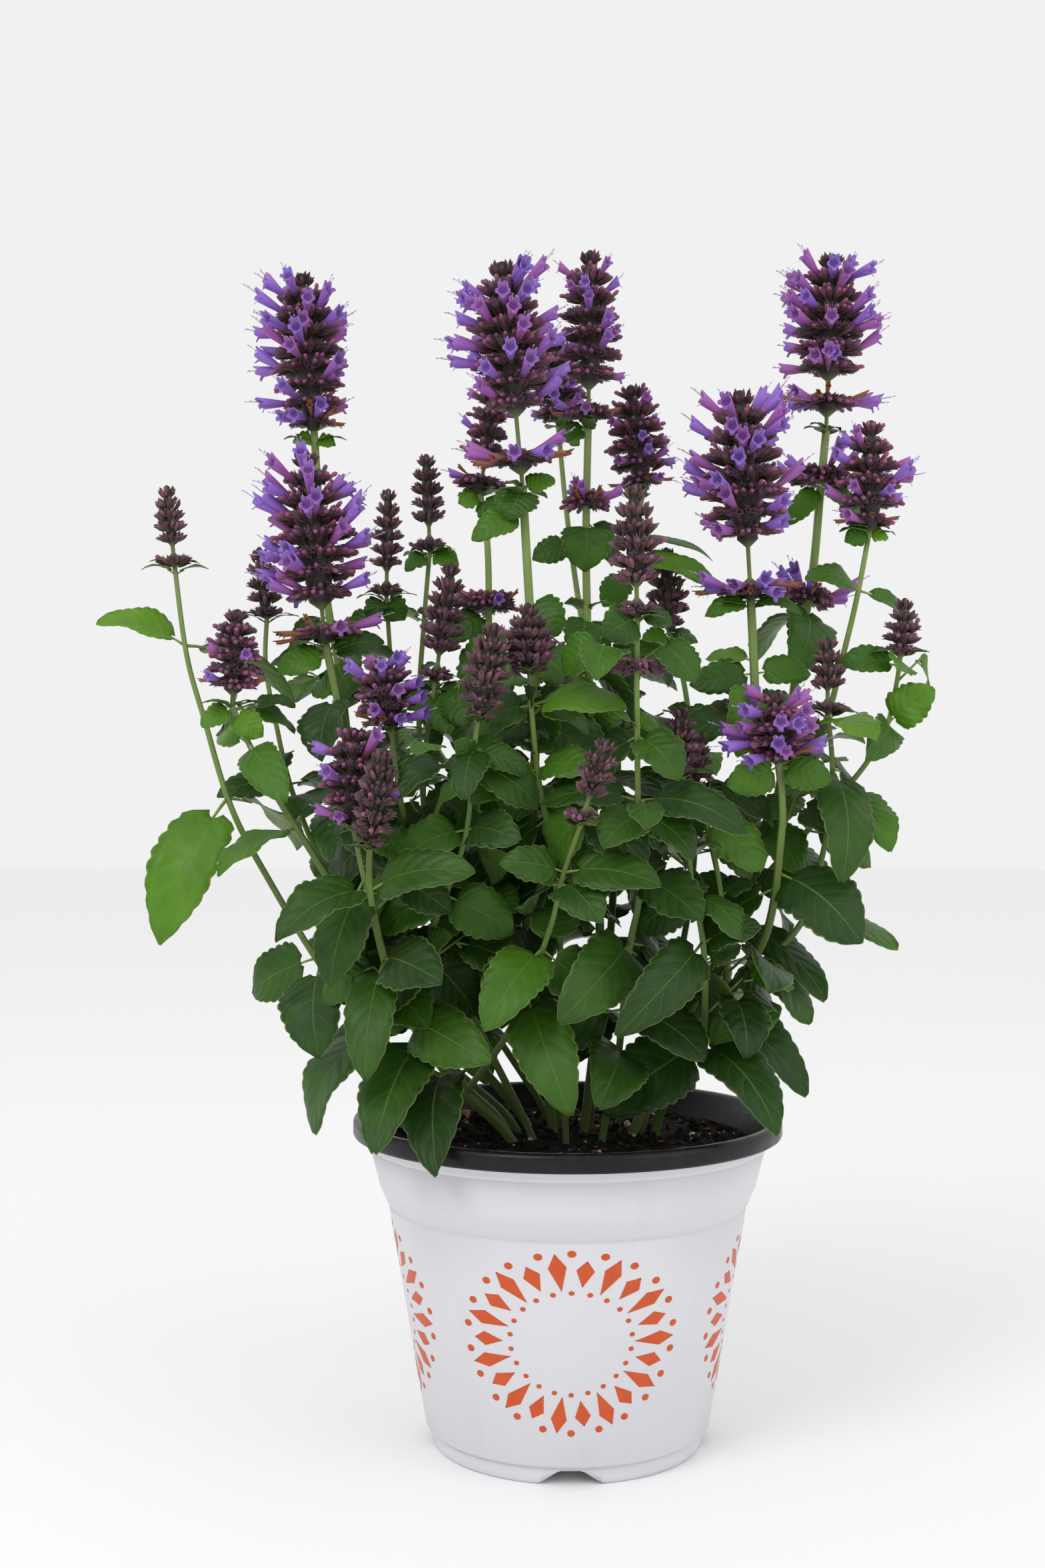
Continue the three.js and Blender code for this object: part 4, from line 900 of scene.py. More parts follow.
def calyx_ring(base, axes, height, share, upright, out, radius, chance, look):
    """One ring of calyces: their feet, directions, lengths and shares of the head's height."""
    forward, across, other = axes
    low, high = look["lean"]
    lean = math.radians(upright + low + (high - low) * share ** LEAN_POWER)
    count = max(FEWEST_CALYCES, round(TURN * CALYX_CIRCLE * out / CALYX_SPACING))
    length = min(CALYX_LENGTH_SHARE * radius + CALYX_LENGTH,
                 (out - CORE_ROOM) / max(LEAST_LEVEL, math.cos(lean)))
    turn = chance.uniform(0, TURN)
    angles = turn + (np.arange(count) + chance.uniform(-TURN_SPREAD, TURN_SPREAD, count)) * TURN / count
    leans = lean + chance.normal(0, LEAN_SPREAD, count)
    ray = np.cos(angles)[:, None] * across + np.sin(angles)[:, None] * other
    direction = ray * np.cos(leans)[:, None] + forward * np.sin(leans)[:, None]
    reach = length * chance.uniform(*CALYX_LENGTHS, count)
    rise = chance.uniform(-RISE_SPREAD, RISE_SPREAD, count)[:, None]
    end = base + forward * (share * height + rise) + ray * out
    return end - direction * reach[:, None], direction, reach, np.full(count, share)


def sizes_of(lengths, radius, full_length, thinnest, thickest):
    widths = radius * np.clip(lengths / full_length, thinnest, thickest)
    return np.stack([widths, widths, lengths], axis=1)


def add_whorl_rows(pieces, base, tip, rows, chance, slots, look):
    """Rings of calyces between two points, with flowers and buds out of some of them."""
    forward = unit(tip - base)
    across = unit(np.cross(forward, SQUARE_TO))
    axes = forward, across, np.cross(forward, across)
    height = np.linalg.norm(tip - base)
    rings = []
    for i, radius in enumerate(rows):
        if is_bare(rows, i):
            continue
        for step, spread, upright in SUB_ROWS:
            share = (i + step + CALYX_TIP_SHARE - SUB_ROWS[-1][0]) / len(rows)
            out = radius * spread * look["beyond"]
            rings.append(calyx_ring(base, axes, height, share, upright, out, radius, chance, look))
    origins, directions, lengths, shares = (np.concatenate(parts) for parts in zip(*rings))
    number = len(lengths)
    frames = frames_for(directions)
    tones = np.stack([chance.uniform(size=number), np.full(number, look["ripe"]), shares], axis=1)
    sizes = sizes_of(lengths, *CALYX_SIZE)
    closed = (shares > look["open_to"]) | (chance.uniform(size=number) < look["closed"])
    for form, some in ((CALYX, ~closed), (CLOSED_CALYX, closed)):
        add_copies(pieces, form, frames[some], sizes[some], origins[some], slots["calyx"], tones[some])
    # Of the open calyces, taken at random, some flower, some of the rest show buds, and the lowest of those
    # still left are dried.
    flowers, rest = np.split(chance.permutation(np.nonzero(~closed)[0]), [look["flowers"]])
    buds, low = np.split(rest, [round(len(rest) * look["buds"])])
    dried = low[np.argsort(shares[low])][:look["dried"]]
    reach = look["reach"] * chance.uniform(*FLOWER_REACHES, number)
    outward = unit_rows(directions - forward * (directions @ forward)[:, None])
    leans = np.radians(chance.uniform(*FLOWER_LEAN, number) + look["rise"] * shares)
    faced = frames_for(outward * np.cos(leans)[:, None] + forward * np.sin(leans)[:, None])
    mouths = origins + directions * (lengths * MOUTH_AT)[:, None]
    flowering = reach + lengths * MOUTH_AT
    budding = chance.uniform(*BUD_REACHES, number) ** BUD_REACH_POWER * look["bud_reach"]
    budding = budding + lengths * BUD_FROM
    drying = reach * DRIED_REACH + lengths * MOUTH_AT
    for form, turned, some, reaches, size, tone in (
            (FLOWER, faced, flowers, flowering, FLOWER_SIZE, (0, 0, 0)),
            (STAMENS, faced, flowers, flowering, FLOWER_SIZE, (0, 0, STAMEN_TONE)),
            (BUD, frames, buds, budding, BUD_SIZE, (0, 1, 0)),
            (FLOWER, faced, dried, drying, DRIED_SIZE, (0, 0, DRIED_TONE))):
        add_copies(pieces, form, turned[some], sizes_of(reaches[some], *size), mouths[some], slots["petal"],
                   tones[some] + np.array(tone))


# A head's own stem, as (share of its height, radius, whether calyces cover it) at its foot and its end,
# where each row covers it, and how thick the feet of a row's calyces make it. Where calyces cover it, its
# colour is painted dark as shade.
CORE_FOOT = (0, 1.0, 0)
CORE_END = (0.985, 0.6, 1)
CORE_STEPS = (0.15, 0.75)
CORE_SHARE = 0.42
CORE_SIDES = 12
CORE_MARK = (0.4, 0.3)


def add_core(pieces, base, tip, rows, slot):
    """The head's own stem, with the feet of the calyces round it; where they cover it, its colour is painted
    dark as shade.
    """
    stations = [CORE_FOOT]
    for i, radius in enumerate(rows):
        bare = is_bare(rows, i)
        thick = CORE_FOOT[1] if bare else max(CORE_FOOT[1], radius * CORE_SHARE)
        stations += [((i + step) / len(rows), thick, 0 if bare else 1) for step in CORE_STEPS]
    shares, radii, shaded_under_calyces = zip(*stations, CORE_END)
    marks = [(*CORE_MARK, cover) for cover in shaded_under_calyces]
    add_tube(pieces, base + np.outer(shares, tip - base), radii, round_section(CORE_SIDES), slot, marks,
             (0.3, 0.5, 0.5))


class Skin:
    """A material, its shader's own settings and short ways to wire its nodes; colours are 0 to 255."""

    def __init__(self, name, **settings):
        self.material = bpy.data.materials.new(name)
        self.material.use_nodes = True
        self.tree = self.material.node_tree
        self.inputs = self.tree.nodes["Principled BSDF"].inputs
        for key, value in settings.items():
            self.inputs[key.replace("_", " ")].default_value = value

    def node(self, kind, *inputs, **settings):
        """A new node, with sockets linked to its first inputs or numbers set on them."""
        made = self.tree.nodes.new(kind)
        for key, value in settings.items():
            setattr(made, key, value)
        for socket, value in zip(made.inputs, inputs):
            self.feed(socket, value)
        return made

    def feed(self, socket, value):
        if isinstance(value, bpy.types.NodeSocket):
            self.tree.links.new(value, socket)
        else:
            socket.default_value = value

    def attribute(self, name):
        """The three numbers of a vector marked on the points."""
        source = self.node("ShaderNodeAttribute", attribute_name=name)
        return self.node("ShaderNodeSeparateXYZ", source.outputs["Vector"]).outputs

    def math(self, operation, a, b=0.0, clamp=False):
        return self.node("ShaderNodeMath", a, b, operation=operation, use_clamp=clamp).outputs[0]

    def times(self, a, b):
        return self.math("MULTIPLY", a, b)

    def plus(self, a, b, clamp=False):
        return self.math("ADD", a, b, clamp)

    def span(self, value, low, high, to_low=0.0, to_high=1.0):
        return self.node("ShaderNodeMapRange", value, low, high, to_low, to_high).outputs[0]

    def mix(self, share, *colours):
        made = self.node("ShaderNodeMix", share, data_type="RGBA")
        for socket, colour in zip(made.inputs[6:8], colours):
            self.feed(socket, srgb(*colour) if isinstance(colour, tuple) else colour)
        return made.outputs[2]

    def tint(self, under, colour, value, *span):
        """A colour laid over another by how far a value is along a span."""
        return self.mix(self.span(value, *span), under, colour)

    def noise(self, scale, detail=3.0, stretch=None):
        """Noise over the object's own metres."""
        place = self.node("ShaderNodeTexCoord").outputs["Object"]
        if stretch:
            mapping = self.node("ShaderNodeMapping", place)
            mapping.inputs["Scale"].default_value = stretch
            place = mapping.outputs[0]
        made = self.node("ShaderNodeTexNoise", place)
        made.inputs["Scale"].default_value = scale
        made.inputs["Detail"].default_value = detail
        return made.outputs["Fac"]

    def ramp(self, value, *stops):
        made = self.node("ShaderNodeValToRGB", value)
        elements = made.color_ramp.elements
        for element, (at, colour) in zip(elements, (stops[0], stops[-1])):
            element.position, element.color = at, srgb(*colour)
        for at, colour in stops[1:-1]:
            elements.new(at).color = srgb(*colour)
        return made.outputs[0]

    def painted(self, colour, height, strength, distance):
        """The material, once its colour and its bump are wired to its shader."""
        self.feed(self.inputs["Base Color"], colour)
        made = self.node("ShaderNodeBump")
        for key, value in (("Strength", strength), ("Distance", distance), ("Height", height)):
            self.feed(made.inputs[key], value)
        self.feed(self.inputs["Normal"], made.outputs[0])
        return self.material


def leaf_skin():
    skin = Skin("hyssop_leaf", Roughness=0.42, Specular_IOR_Level=0.24, Subsurface_Weight=0.12,
                Subsurface_Radius=(0.5, 1.0, 0.15), Subsurface_Scale=0.0015)
    along_it, across, _ = skin.attribute("mark")
    shade, under, random = skin.attribute("tone")
    side = skin.math("ABSOLUTE", across)
    slant = skin.times(skin.math("POWER", side, 1.3), 0.34)
    veins = skin.math("PINGPONG", skin.times(skin.math("SUBTRACT", along_it, slant), 5.5), 0.5)
    vein = skin.times(skin.span(veins, 0.0, 0.08, 1.0, 0.0), skin.span(side, 0.6, 0.95, 1.0, 0.0))
    midrib = skin.span(side, 0.01, 0.045, 1.0, 0.0)
    line = skin.math("MAXIMUM", skin.times(vein, 0.3), midrib)
    # Painted light and shade: each leaf's painted light (lighter high up and outside, darker low down and
    # inside where shade falls), with random mottling and a random tone per leaf, picks its green from dark to
    # bright.
    painted_light_and_tone = skin.plus(skin.times(shade, 0.75), skin.times(skin.noise(70.0, 4.0), 0.3), clamp=True)
    painted_light_and_tone = skin.plus(painted_light_and_tone, skin.span(random, 0.0, 1.0, -0.12, 0.12), clamp=True)
    green = skin.ramp(painted_light_and_tone, (0.0, (20, 37, 13)), (0.35, (36, 64, 17)), (0.7, (64, 106, 22)),
                      (1.0, (106, 150, 36)))
    lined = skin.mix(skin.times(line, 0.38), green, (108, 140, 60))
    margin = skin.tint(lined, (136, 152, 88), side, 0.93, 1.0, 0.0, 0.45)
    colour = skin.mix(skin.times(under, 0.5), margin, (92, 116, 62))
    pillow = skin.math("POWER", skin.times(veins, 2.0), 0.6)
    height = skin.plus(skin.times(pillow, 0.8), skin.times(skin.noise(900.0), 0.35))
    return skin.painted(colour, skin.math("SUBTRACT", height, midrib), 0.55, 0.0006)


def stem_skin():
    skin = Skin("hyssop_stem", Roughness=0.55)
    height, ripe, shaded_under_calyces = skin.attribute("mark")
    streaks = skin.noise(260.0, 3.0, (1.0, 1.0, 0.12))
    green = skin.ramp(height, (0.0, (88, 112, 52)), (0.35, (96, 126, 50)), (0.7, (120, 150, 66)),
                      (1.0, (138, 166, 88)))
    mixed = skin.mix(skin.times(ripe, 0.75), green, (92, 74, 66))
    streaked = skin.tint(mixed, (96, 92, 58), streaks, 0.35, 0.7, 0.0, 0.35)
    # Painted shade: the head's own stem turns dark brown where calyces cover it.
    return skin.painted(skin.mix(shaded_under_calyces, streaked, (36, 24, 24)), streaks, 0.3, 0.0004)


def calyx_skin():
    skin = Skin("hyssop_calyx", Roughness=0.72, Specular_IOR_Level=0.3, Sheen_Weight=0.16,
                Sheen_Roughness=0.4)
    along_it = skin.attribute("mark")[0]
    random, ripe, _ = skin.attribute("tone")
    base = skin.ramp(random, (0.0, (48, 26, 30)), (0.5, (70, 38, 44)), (1.0, (102, 58, 68)))
    young = skin.ramp(random, (0.0, (72, 48, 46)), (0.5, (96, 66, 68)), (1.0, (134, 94, 106)))
    footed = skin.tint(skin.mix(ripe, young, base), (96, 104, 58), along_it, 0.0, 0.45, 0.6, 0.0)
    # Painted sheen: the teeth lighter towards their tips, where light catches their hairs.
    sheen_lit_tips = skin.tint(footed, (134, 108, 132), along_it, 0.75, 1.0, 0.0, 0.4)
    # Painted shade: dark inside the calyx, round its throat.
    throat = skin.tint(sheen_lit_tips, (34, 22, 28), along_it, 1.02, 1.2, 0.0, 0.85)
    return skin.painted(throat, skin.noise(1500.0, 2.0), 0.35, 0.0004)


def petal_skin():
    skin = Skin("hyssop_petal", Roughness=0.6, Sheen_Weight=0.1, Subsurface_Weight=0.1,
                Subsurface_Radius=(0.8, 0.5, 1.0), Subsurface_Scale=0.001)
    along_it = skin.attribute("mark")[0]
    random, closed, kind = skin.attribute("tone")
    bluish = skin.tint((122, 74, 166), (152, 112, 212), along_it, 0.2, 1.0)
    pinkish = skin.tint((144, 68, 132), (168, 102, 186), along_it, 0.2, 1.0)
    petal = skin.tint(bluish, pinkish, random, 0.35, 0.65)
    # Painted shade: darker round the inner ring of the mouth and down its throat.
    shaded_throat = skin.tint(petal, (84, 40, 112), along_it, 1.02, 1.12, 0.0, 0.6)
    knob = skin.tint((104, 56, 62), (146, 72, 106), random, 0.2, 0.9)
    budded = skin.tint(shaded_throat, knob, closed, 1.0, 1.2, 0.0, 0.9)
    thread = skin.span(kind, STAMEN_TONE - 1.0, STAMEN_TONE - 0.5)
    threaded = skin.mix(skin.times(thread, 0.75), budded, (188, 168, 206))
    colour = skin.tint(threaded, (142, 84, 52), kind, DRIED_TONE - 1.0, DRIED_TONE - 0.5)
    return skin.painted(colour, skin.noise(1200.0, 2.0), 0.25, 0.0003)


def white_skin():
    skin = Skin("pot_white", Specular_IOR_Level=0.45)
    haze = skin.noise(18.0, 4.0)
    streaks = skin.noise(60.0, 3.0, (1.0, 1.0, 0.08))
    colour = skin.tint((212, 212, 217), (205, 205, 211), haze, 0.35, 0.75, 0.0, 0.5)
    colour = skin.tint(colour, (197, 197, 203), streaks, 0.55, 0.8, 0.0, 0.3)
    skin.feed(skin.inputs["Roughness"], skin.span(haze, 0.3, 0.7, 0.3, 0.42))
    return skin.painted(colour, haze, 0.12, 0.002)


def black_skin():
    skin = Skin("pot_black", Specular_IOR_Level=0.26)
    dust = skin.noise(140.0, 5.0)
    skin.feed(skin.inputs["Roughness"], skin.span(dust, 0.3, 0.7, 0.24, 0.4))
    return skin.painted(skin.tint((15, 15, 16), (32, 32, 32), dust, 0.45, 0.75, 0.0, 0.6), dust, 0.1, 0.001)


def print_skin():
    skin = Skin("pot_print", Roughness=0.4)
    ink = skin.noise(220.0, 4.0)
    return skin.painted(skin.tint((204, 80, 18), (194, 72, 14), ink, 0.3, 0.7), ink, 0.1, 0.0002)


def peat_skin():
    skin = Skin("peat", Roughness=0.95, Specular_IOR_Level=0.2)
    crumb = skin.noise(320.0, 6.0)
    dark = skin.ramp(crumb, (0.32, (13, 11, 9)), (0.75, (46, 38, 31)))
    colour = skin.tint(dark, (26, 21, 17), skin.noise(45.0), 0.4, 0.7, 0.0, 0.4)
    return skin.painted(colour, crumb, 0.9, 0.0025)


def grain_skin(name, dark, light, scale, roughness):
    """Bark, perlite, dead leaf and fallen flowers: two colours in a mottled grain."""
    skin = Skin(name, Roughness=roughness)
    grain = skin.noise(scale, 5.0)
    return skin.painted(skin.ramp(grain, (0.32, dark), (0.68, light)), grain, 0.6, 0.0008)


LEAF, STEM, CALYX_SKIN, PETAL = leaf_skin(), stem_skin(), calyx_skin(), petal_skin()
WHITE, BLACK, PRINT, PEAT = white_skin(), black_skin(), print_skin(), peat_skin()
BARK = grain_skin("bark_bit", (28, 21, 16), (72, 52, 37), 160.0, 0.9)
PERLITE = grain_skin("perlite", (160, 154, 138), (226, 222, 206), 500.0, 0.85)
DEAD_LEAF = grain_skin("dead_leaf", (78, 56, 36), (142, 108, 74), 210.0, 0.85)
DEAD_FLOWER = grain_skin("fallen_flower", (78, 44, 52), (140, 84, 52), 300.0, 0.8)

# The pot: a thin shell turned round z, from the middle of its underside out and up, over the rim and down
# inside, as (radius, height). The first WHITE_POINTS are white. Notches are cut up into the foot.
SHELL = (
    (0, 0), (9, 0), (11, 7), (55, 7), (57.6, 1.2), (58.5, 0.2), (59.2, 0), (62.2, 0), (62.9, 0.4),
    (63.4, 1.6), (64.4, 6.8), (63.8, 7.6), (64.5, 8.4), (66.2, 8.8), (66.9, 9.6), (75.5, 60.5), (84.1, 110.7),
    (83.3, 111.7), (84.0, 112.7), (85.3, 114), (88.1, 120.6), (88.7, 121.7), (88.9, 122.7), (92.8, 138.0),
    (92.0, 138.9), (93.4, 139.7), (94.3, 140.2), (94.6, 141.2), (95, 144.6), (99.8, 144.5), (100.6, 145),
    (101, 145.9), (101, 150.8), (100.7, 151.8), (99.8, 152.6), (98.6, 153), (97, 152.9), (95.8, 152.3),
    (95.2, 151.2), (93.6, 146.4), (82.8, 112.6), (65.2, 12), (62.5, 9), (0, 9))
WHITE_POINTS = 29
WALL = SHELL[14:17]
POT_TURNS = 192
FOOT_FROM = 54
NOTCH_HEIGHT = 6.5
NOTCH_HALF_BOTTOM = 15
NOTCH_HALF_TOP = 5


def make_pot():
    wall = SHELL[1:-1]
    angles = angles_round(POT_TURNS)
    points = np.concatenate([ring(angles, radius, height) for radius, height in wall]
                            + [[(0, 0, SHELL[0][1]), (0, 0, SHELL[-1][1])]])
    count = len(wall) * POT_TURNS
    bands = [fan(POT_TURNS, 0, count, True)]
    bands += [triangles(grid_faces(2, POT_TURNS, True) + i * POT_TURNS) for i in range(len(wall) - 1)]
    bands.append(fan(POT_TURNS, count - POT_TURNS, count + 1))
    white = sum(len(band) for band in bands[:WHITE_POINTS - 1])
    foot = (np.hypot(points[:, 0], points[:, 1]) > FOOT_FROM) & (points[:, 2] < NOTCH_HEIGHT + 0.1)
    beside = np.minimum(np.abs(points[:, 0]), np.abs(points[:, 1]))
    arch = NOTCH_HEIGHT * (NOTCH_HALF_BOTTOM - beside) / (NOTCH_HALF_BOTTOM - NOTCH_HALF_TOP)
    arch = np.clip(arch, 0, NOTCH_HEIGHT)
    points[:, 2] = np.where(foot, np.maximum(points[:, 2], arch), points[:, 2])
    faces = np.concatenate(bands)
    pieces = Pieces()
    pieces.add(points, faces, slot=np.where(np.arange(len(faces)) < white, 0, 1))
    return pieces


# The print: a sunburst of long narrow lozenges with dots between them, four times round the pot. A ray runs
# from one radius to another, and a dot is (how far out, radius).
PRINT_SIDES = 4
PRINT_HEIGHT = 66
PRINT_PROUD = 0.07
PRINT_RAYS = 22
PRINT_STRETCH = (1.09, 0.93)
RAYS = ((26, 44.5), (28, 41))
RAY_WIDTH = 7.0
RAY_ROWS = (1, 0.4, -0.4, -1)
RAY_POINTS = 9
LOZENGE_WIDEST = 0.625
DOTS = ((44, 1.7), (25, 1.15))
DOT_SIDES = 14


def wall_radius(height):
    """How far the pot's wall stands from its axis at a height."""
    radii, heights = zip(*WALL)
    return np.interp(height, heights, radii)


def onto_wall(flat, centre_angle):
    """Points drawn on a flat sheet, (across, up) from the print's middle, laid on the pot's wall."""
    height = PRINT_HEIGHT + flat[:, 1] * PRINT_STRETCH[1]
    angle = centre_angle + flat[:, 0] * PRINT_STRETCH[0] / wall_radius(PRINT_HEIGHT)
    return ring(angle, wall_radius(height) + PRINT_PROUD, height)


def lozenge(turn, inner, outer):
    """One ray, pointed at both ends and widest nearer its outer end."""
    shares = np.linspace(0, 1, RAY_POINTS)
    half = RAY_WIDTH / 2 * np.minimum(shares / LOZENGE_WIDEST, (1 - shares) / (1 - LOZENGE_WIDEST))
    reach = inner + (outer - inner) * shares
    ahead = np.array([math.cos(turn), math.sin(turn)])
    beside = np.array([-ahead[1], ahead[0]])
    rows = [reach[:, None] * ahead + half[:, None] * beside * side for side in RAY_ROWS]
    return np.concatenate(rows), triangles(grid_faces(len(RAY_ROWS), RAY_POINTS))


def dot(turn, reach, radius):
    centre = reach * np.array([math.cos(turn), math.sin(turn)])
    rim = centre + radius * round_section(DOT_SIDES)
    return np.concatenate([rim, [centre]]), fan(DOT_SIDES, 0, DOT_SIDES)


def add_print(pieces, slot):
    for panel in range(PRINT_SIDES):
        centre = -math.pi / 2 + panel * TURN / PRINT_SIDES
        for ray in range(PRINT_RAYS):
            turn = TURN * ray / PRINT_RAYS
            spots = [dot(turn + math.pi / PRINT_RAYS, *spot) for spot in DOTS]
            for flat, faces in [lozenge(turn, *RAYS[ray % 2]), *spots]:
                pieces.add(onto_wall(flat, centre), faces, slot=slot)


# Soil, with the solid's waves: its rings, its side below the surface as (radius, height), and its crumbs as
# (how many times finer, how high)
SOIL_BUMP = 1.1
SOIL_EDGE_DROP = 1.5
SOIL_RINGS = 56
SOIL_TURNS = 180
SOIL_EDGE = 90.6
SOIL_SIDE = ((82.4, 112.8), (62.1, 9.35))
CRUMB_SCALE = 0.22
CRUMBS = ((1, 1.1), (3.1, 0.7), (7.3, 0.35))
# Loose bits, by the slot of their material: (how many, smallest and largest size, shape along its three
# sides, how deep it sits). Round ones tumble, and the rest lie flat.
PEAT_SLOT, BARK_SLOT, PERLITE_SLOT, FLOWER_SLOT = range(4)
ROUND = (PEAT_SLOT, PERLITE_SLOT)
SCATTER = (
    (PEAT_SLOT, 900, 0.7, 2.6, (1, 0.85, 0.7), 0.25),
    (BARK_SLOT, 150, 1.2, 4.6, (1, 0.42, 0.24), 0.2),
    (PERLITE_SLOT, 110, 0.3, 1.1, (1, 0.9, 0.8), 0.1),
    (PERLITE_SLOT, 16, 1.5, 2.5, (1, 0.8, 0.7), 0.4),
    (FLOWER_SLOT, 26, 1.8, 3.4, (1, 0.28, 0.24), 0.05),
)
SCATTER_REACH = 0.97
LUMP_SIDES = 6
LUMP_ROUGHNESS = 0.28
FLAT_TILT = 0.18


def soil_height(x, y):
    """The solid's soil surface with fine crumbs on it."""
    wave = np.sin(0.21 * x + 1.3) * np.cos(0.17 * y - 0.4) + 0.6 * np.sin(0.09 * x - 0.31 * y)
    at = Vector((x * CRUMB_SCALE, y * CRUMB_SCALE, 0))
    return (SOIL_TOP + SOIL_BUMP * wave - SOIL_EDGE_DROP * (np.hypot(x, y) / 90) ** 2
            + sum(high * noise.noise(at * finer) for finer, high in CRUMBS))


def lump(chance, rings):
    """A small irregular lump, about 1 in radius."""
    angles = angles_round(LUMP_SIDES)
    heights = np.linspace(-1, 1, rings + 2)[1:-1]
    rows = [ring(angles, math.sqrt(1 - height * height), height) for height in heights]
    points = np.concatenate([[(0, 0, -1)], *rows, [(0, 0, 1)]])
    points *= 1 + chance.uniform(-LUMP_ROUGHNESS, LUMP_ROUGHNESS, (len(points), 1))
    last = 1 + (rings - 1) * LUMP_SIDES
    return points, np.concatenate([
        fan(LUMP_SIDES, 1, 0, True), triangles(grid_faces(rings, LUMP_SIDES, True) + 1),
        fan(LUMP_SIDES, last, last + LUMP_SIDES)])


def any_turn(chance):
    """A random turn."""
    matrix, upper = np.linalg.qr(chance.normal(size=(3, 3)))
    matrix = matrix * np.sign(np.diag(upper))
    return matrix * np.sign(np.linalg.det(matrix))


def flat_turn(chance):
    """A turn about z with a slight tilt."""
    angle, tilt = chance.uniform(0, TURN), chance.normal(0, FLAT_TILT)
    (c, s), (a, b) = ((math.cos(some), math.sin(some)) for some in (angle, tilt))
    return np.array([(c, -s, 0), (s, c, 0), (0, 0, 1)]) @ np.array([(1, 0, 0), (0, a, -b), (0, b, a)])


def make_soil(chance):
    pieces = Pieces()
    points = []
    for i in range(1, SOIL_RINGS + 1):
        radius = SOIL_EDGE * math.sqrt(i / SOIL_RINGS)
        for angle in angles_round(SOIL_TURNS):
            x, y = radius * math.cos(angle), radius * math.sin(angle)
            points.append((x, y, soil_height(x, y)))
    points += [(radius * math.cos(angle), radius * math.sin(angle), z)
               for radius, z in SOIL_SIDE for angle in angles_round(SOIL_TURNS)]
    count = len(points)
    points += [(0, 0, SOIL_TOP), (0, 0, SOIL_SIDE[-1][1])]
    pieces.add(points, np.concatenate([
        fan(SOIL_TURNS, 0, count), triangles(grid_faces(count // SOIL_TURNS, SOIL_TURNS, True))[:, ::-1],
        fan(SOIL_TURNS, count - SOIL_TURNS, count + 1, True)]))
    for slot, number, smallest, largest, shape, sunk in SCATTER:
        for _ in range(number):
            radius, angle = SOIL_EDGE * math.sqrt(chance.uniform(0, SCATTER_REACH)), chance.uniform(0, TURN)
            x, y = radius * math.cos(angle), radius * math.sin(angle)
            size = chance.uniform(smallest, largest) * (0.6 + 0.4 * chance.uniform())
            points, faces = lump(chance, 2 if slot in (PEAT_SLOT, BARK_SLOT) else 3)
            turned = any_turn(chance) if slot in ROUND else flat_turn(chance)
            z = soil_height(x, y) + size * (0.45 if slot in ROUND else min(shape) * 0.9) - sunk
            pieces.add(points * size * shape @ turned.T + (x, y, z), faces, slot=slot)
    return pieces


# The dead leaf on the soil, which curls up and has a scalloped margin
FALLEN = Leaf((-52, 40, 141.05), (-28, 62, 141.45), 20, 0)
FALLEN_GRID = (26, 11)
FALLEN_CURL = 5
FALLEN_BLADE_FROM = 0.16
FALLEN_STALK_END = 1.4


def make_fallen_leaf():
    pieces = Pieces()
    u, v = (np.linspace(low, 1, count) for low, count in zip((0, -1), FALLEN_GRID))
    u, v = u[:, None], v[None]
    scallops = 1 + 0.08 * np.sin(9 * np.pi * u) * (np.abs(v) == 1)
    side = np.interp(u, *OUTLINE) * scallops * v * FALLEN.width / 2
    curl = FALLEN_CURL * (0.35 * v ** 2 + 0.25 * np.abs(v) * np.sin(7 * u + 1.1) + 0.3 * u ** 2)
    curl = curl + 0.25 * np.sin(11 * u + 5 * v)
    middle = FALLEN.at(FALLEN_BLADE_FROM + (1 - FALLEN_BLADE_FROM) * u, side) + curl[..., None] * UP
    points = np.concatenate([middle.reshape(-1, 3) + UP * 0.2, middle.reshape(-1, 3) - UP * 0.1])
    pieces.add(points, sheet_faces(*FALLEN_GRID))
    stalk = FALLEN.at(np.linspace(0, FALLEN_BLADE_FROM * FALLEN_STALK_END, 5), 0) + UP * 0.2
    add_tube(pieces, stalk, np.full(5, 0.5), round_section(6), 0, np.zeros((5, 3)), (0.5, 0, 0))
    return pieces


# Stems and leaves of each shoot, and the slots of their materials
LEAFY_SLOTS = dict(stem=0, leaf=1, calyx=2, petal=3)
HEAD_SLOTS = dict(calyx=0, petal=1, stem=2)
STEM_STEPS = 8
STEM_COLOURS_FROM = 150
STEM_COLOURS_TO = 480
STEM_NODES = 30
# The random spread of a leaf's painted light and shade
SHADE_RANGE = (-0.22, 0.26)
PLACED_FACING = 0.45
FRONT_TO = 25
FRONT_FACING = (0.2, 0.75)
BACK_FACING = (-0.7, 0.1)
TWIG_TAPER = np.linspace(1.1, 0.7, 5)
# The short leaves under a head, as (how far below it, length), and the whorls below some heads
BRACTS = ((0.0, 12), (0.08, 16))
BRACT_WIDTH = 0.42
BRACT_RISE = 0.25
# The painted light and shade of the short leaves under a head
BRACT_SHADE = 0.4
WHORL_BELOW = 4
WHORL_ABOVE = 5
WHORL_TAPER = 0.8
WHORL_FLOWERS = 5
WHORL_DRIED = 2
WHORL_LOOK = dict(rise=55, lean=(-24, 52))
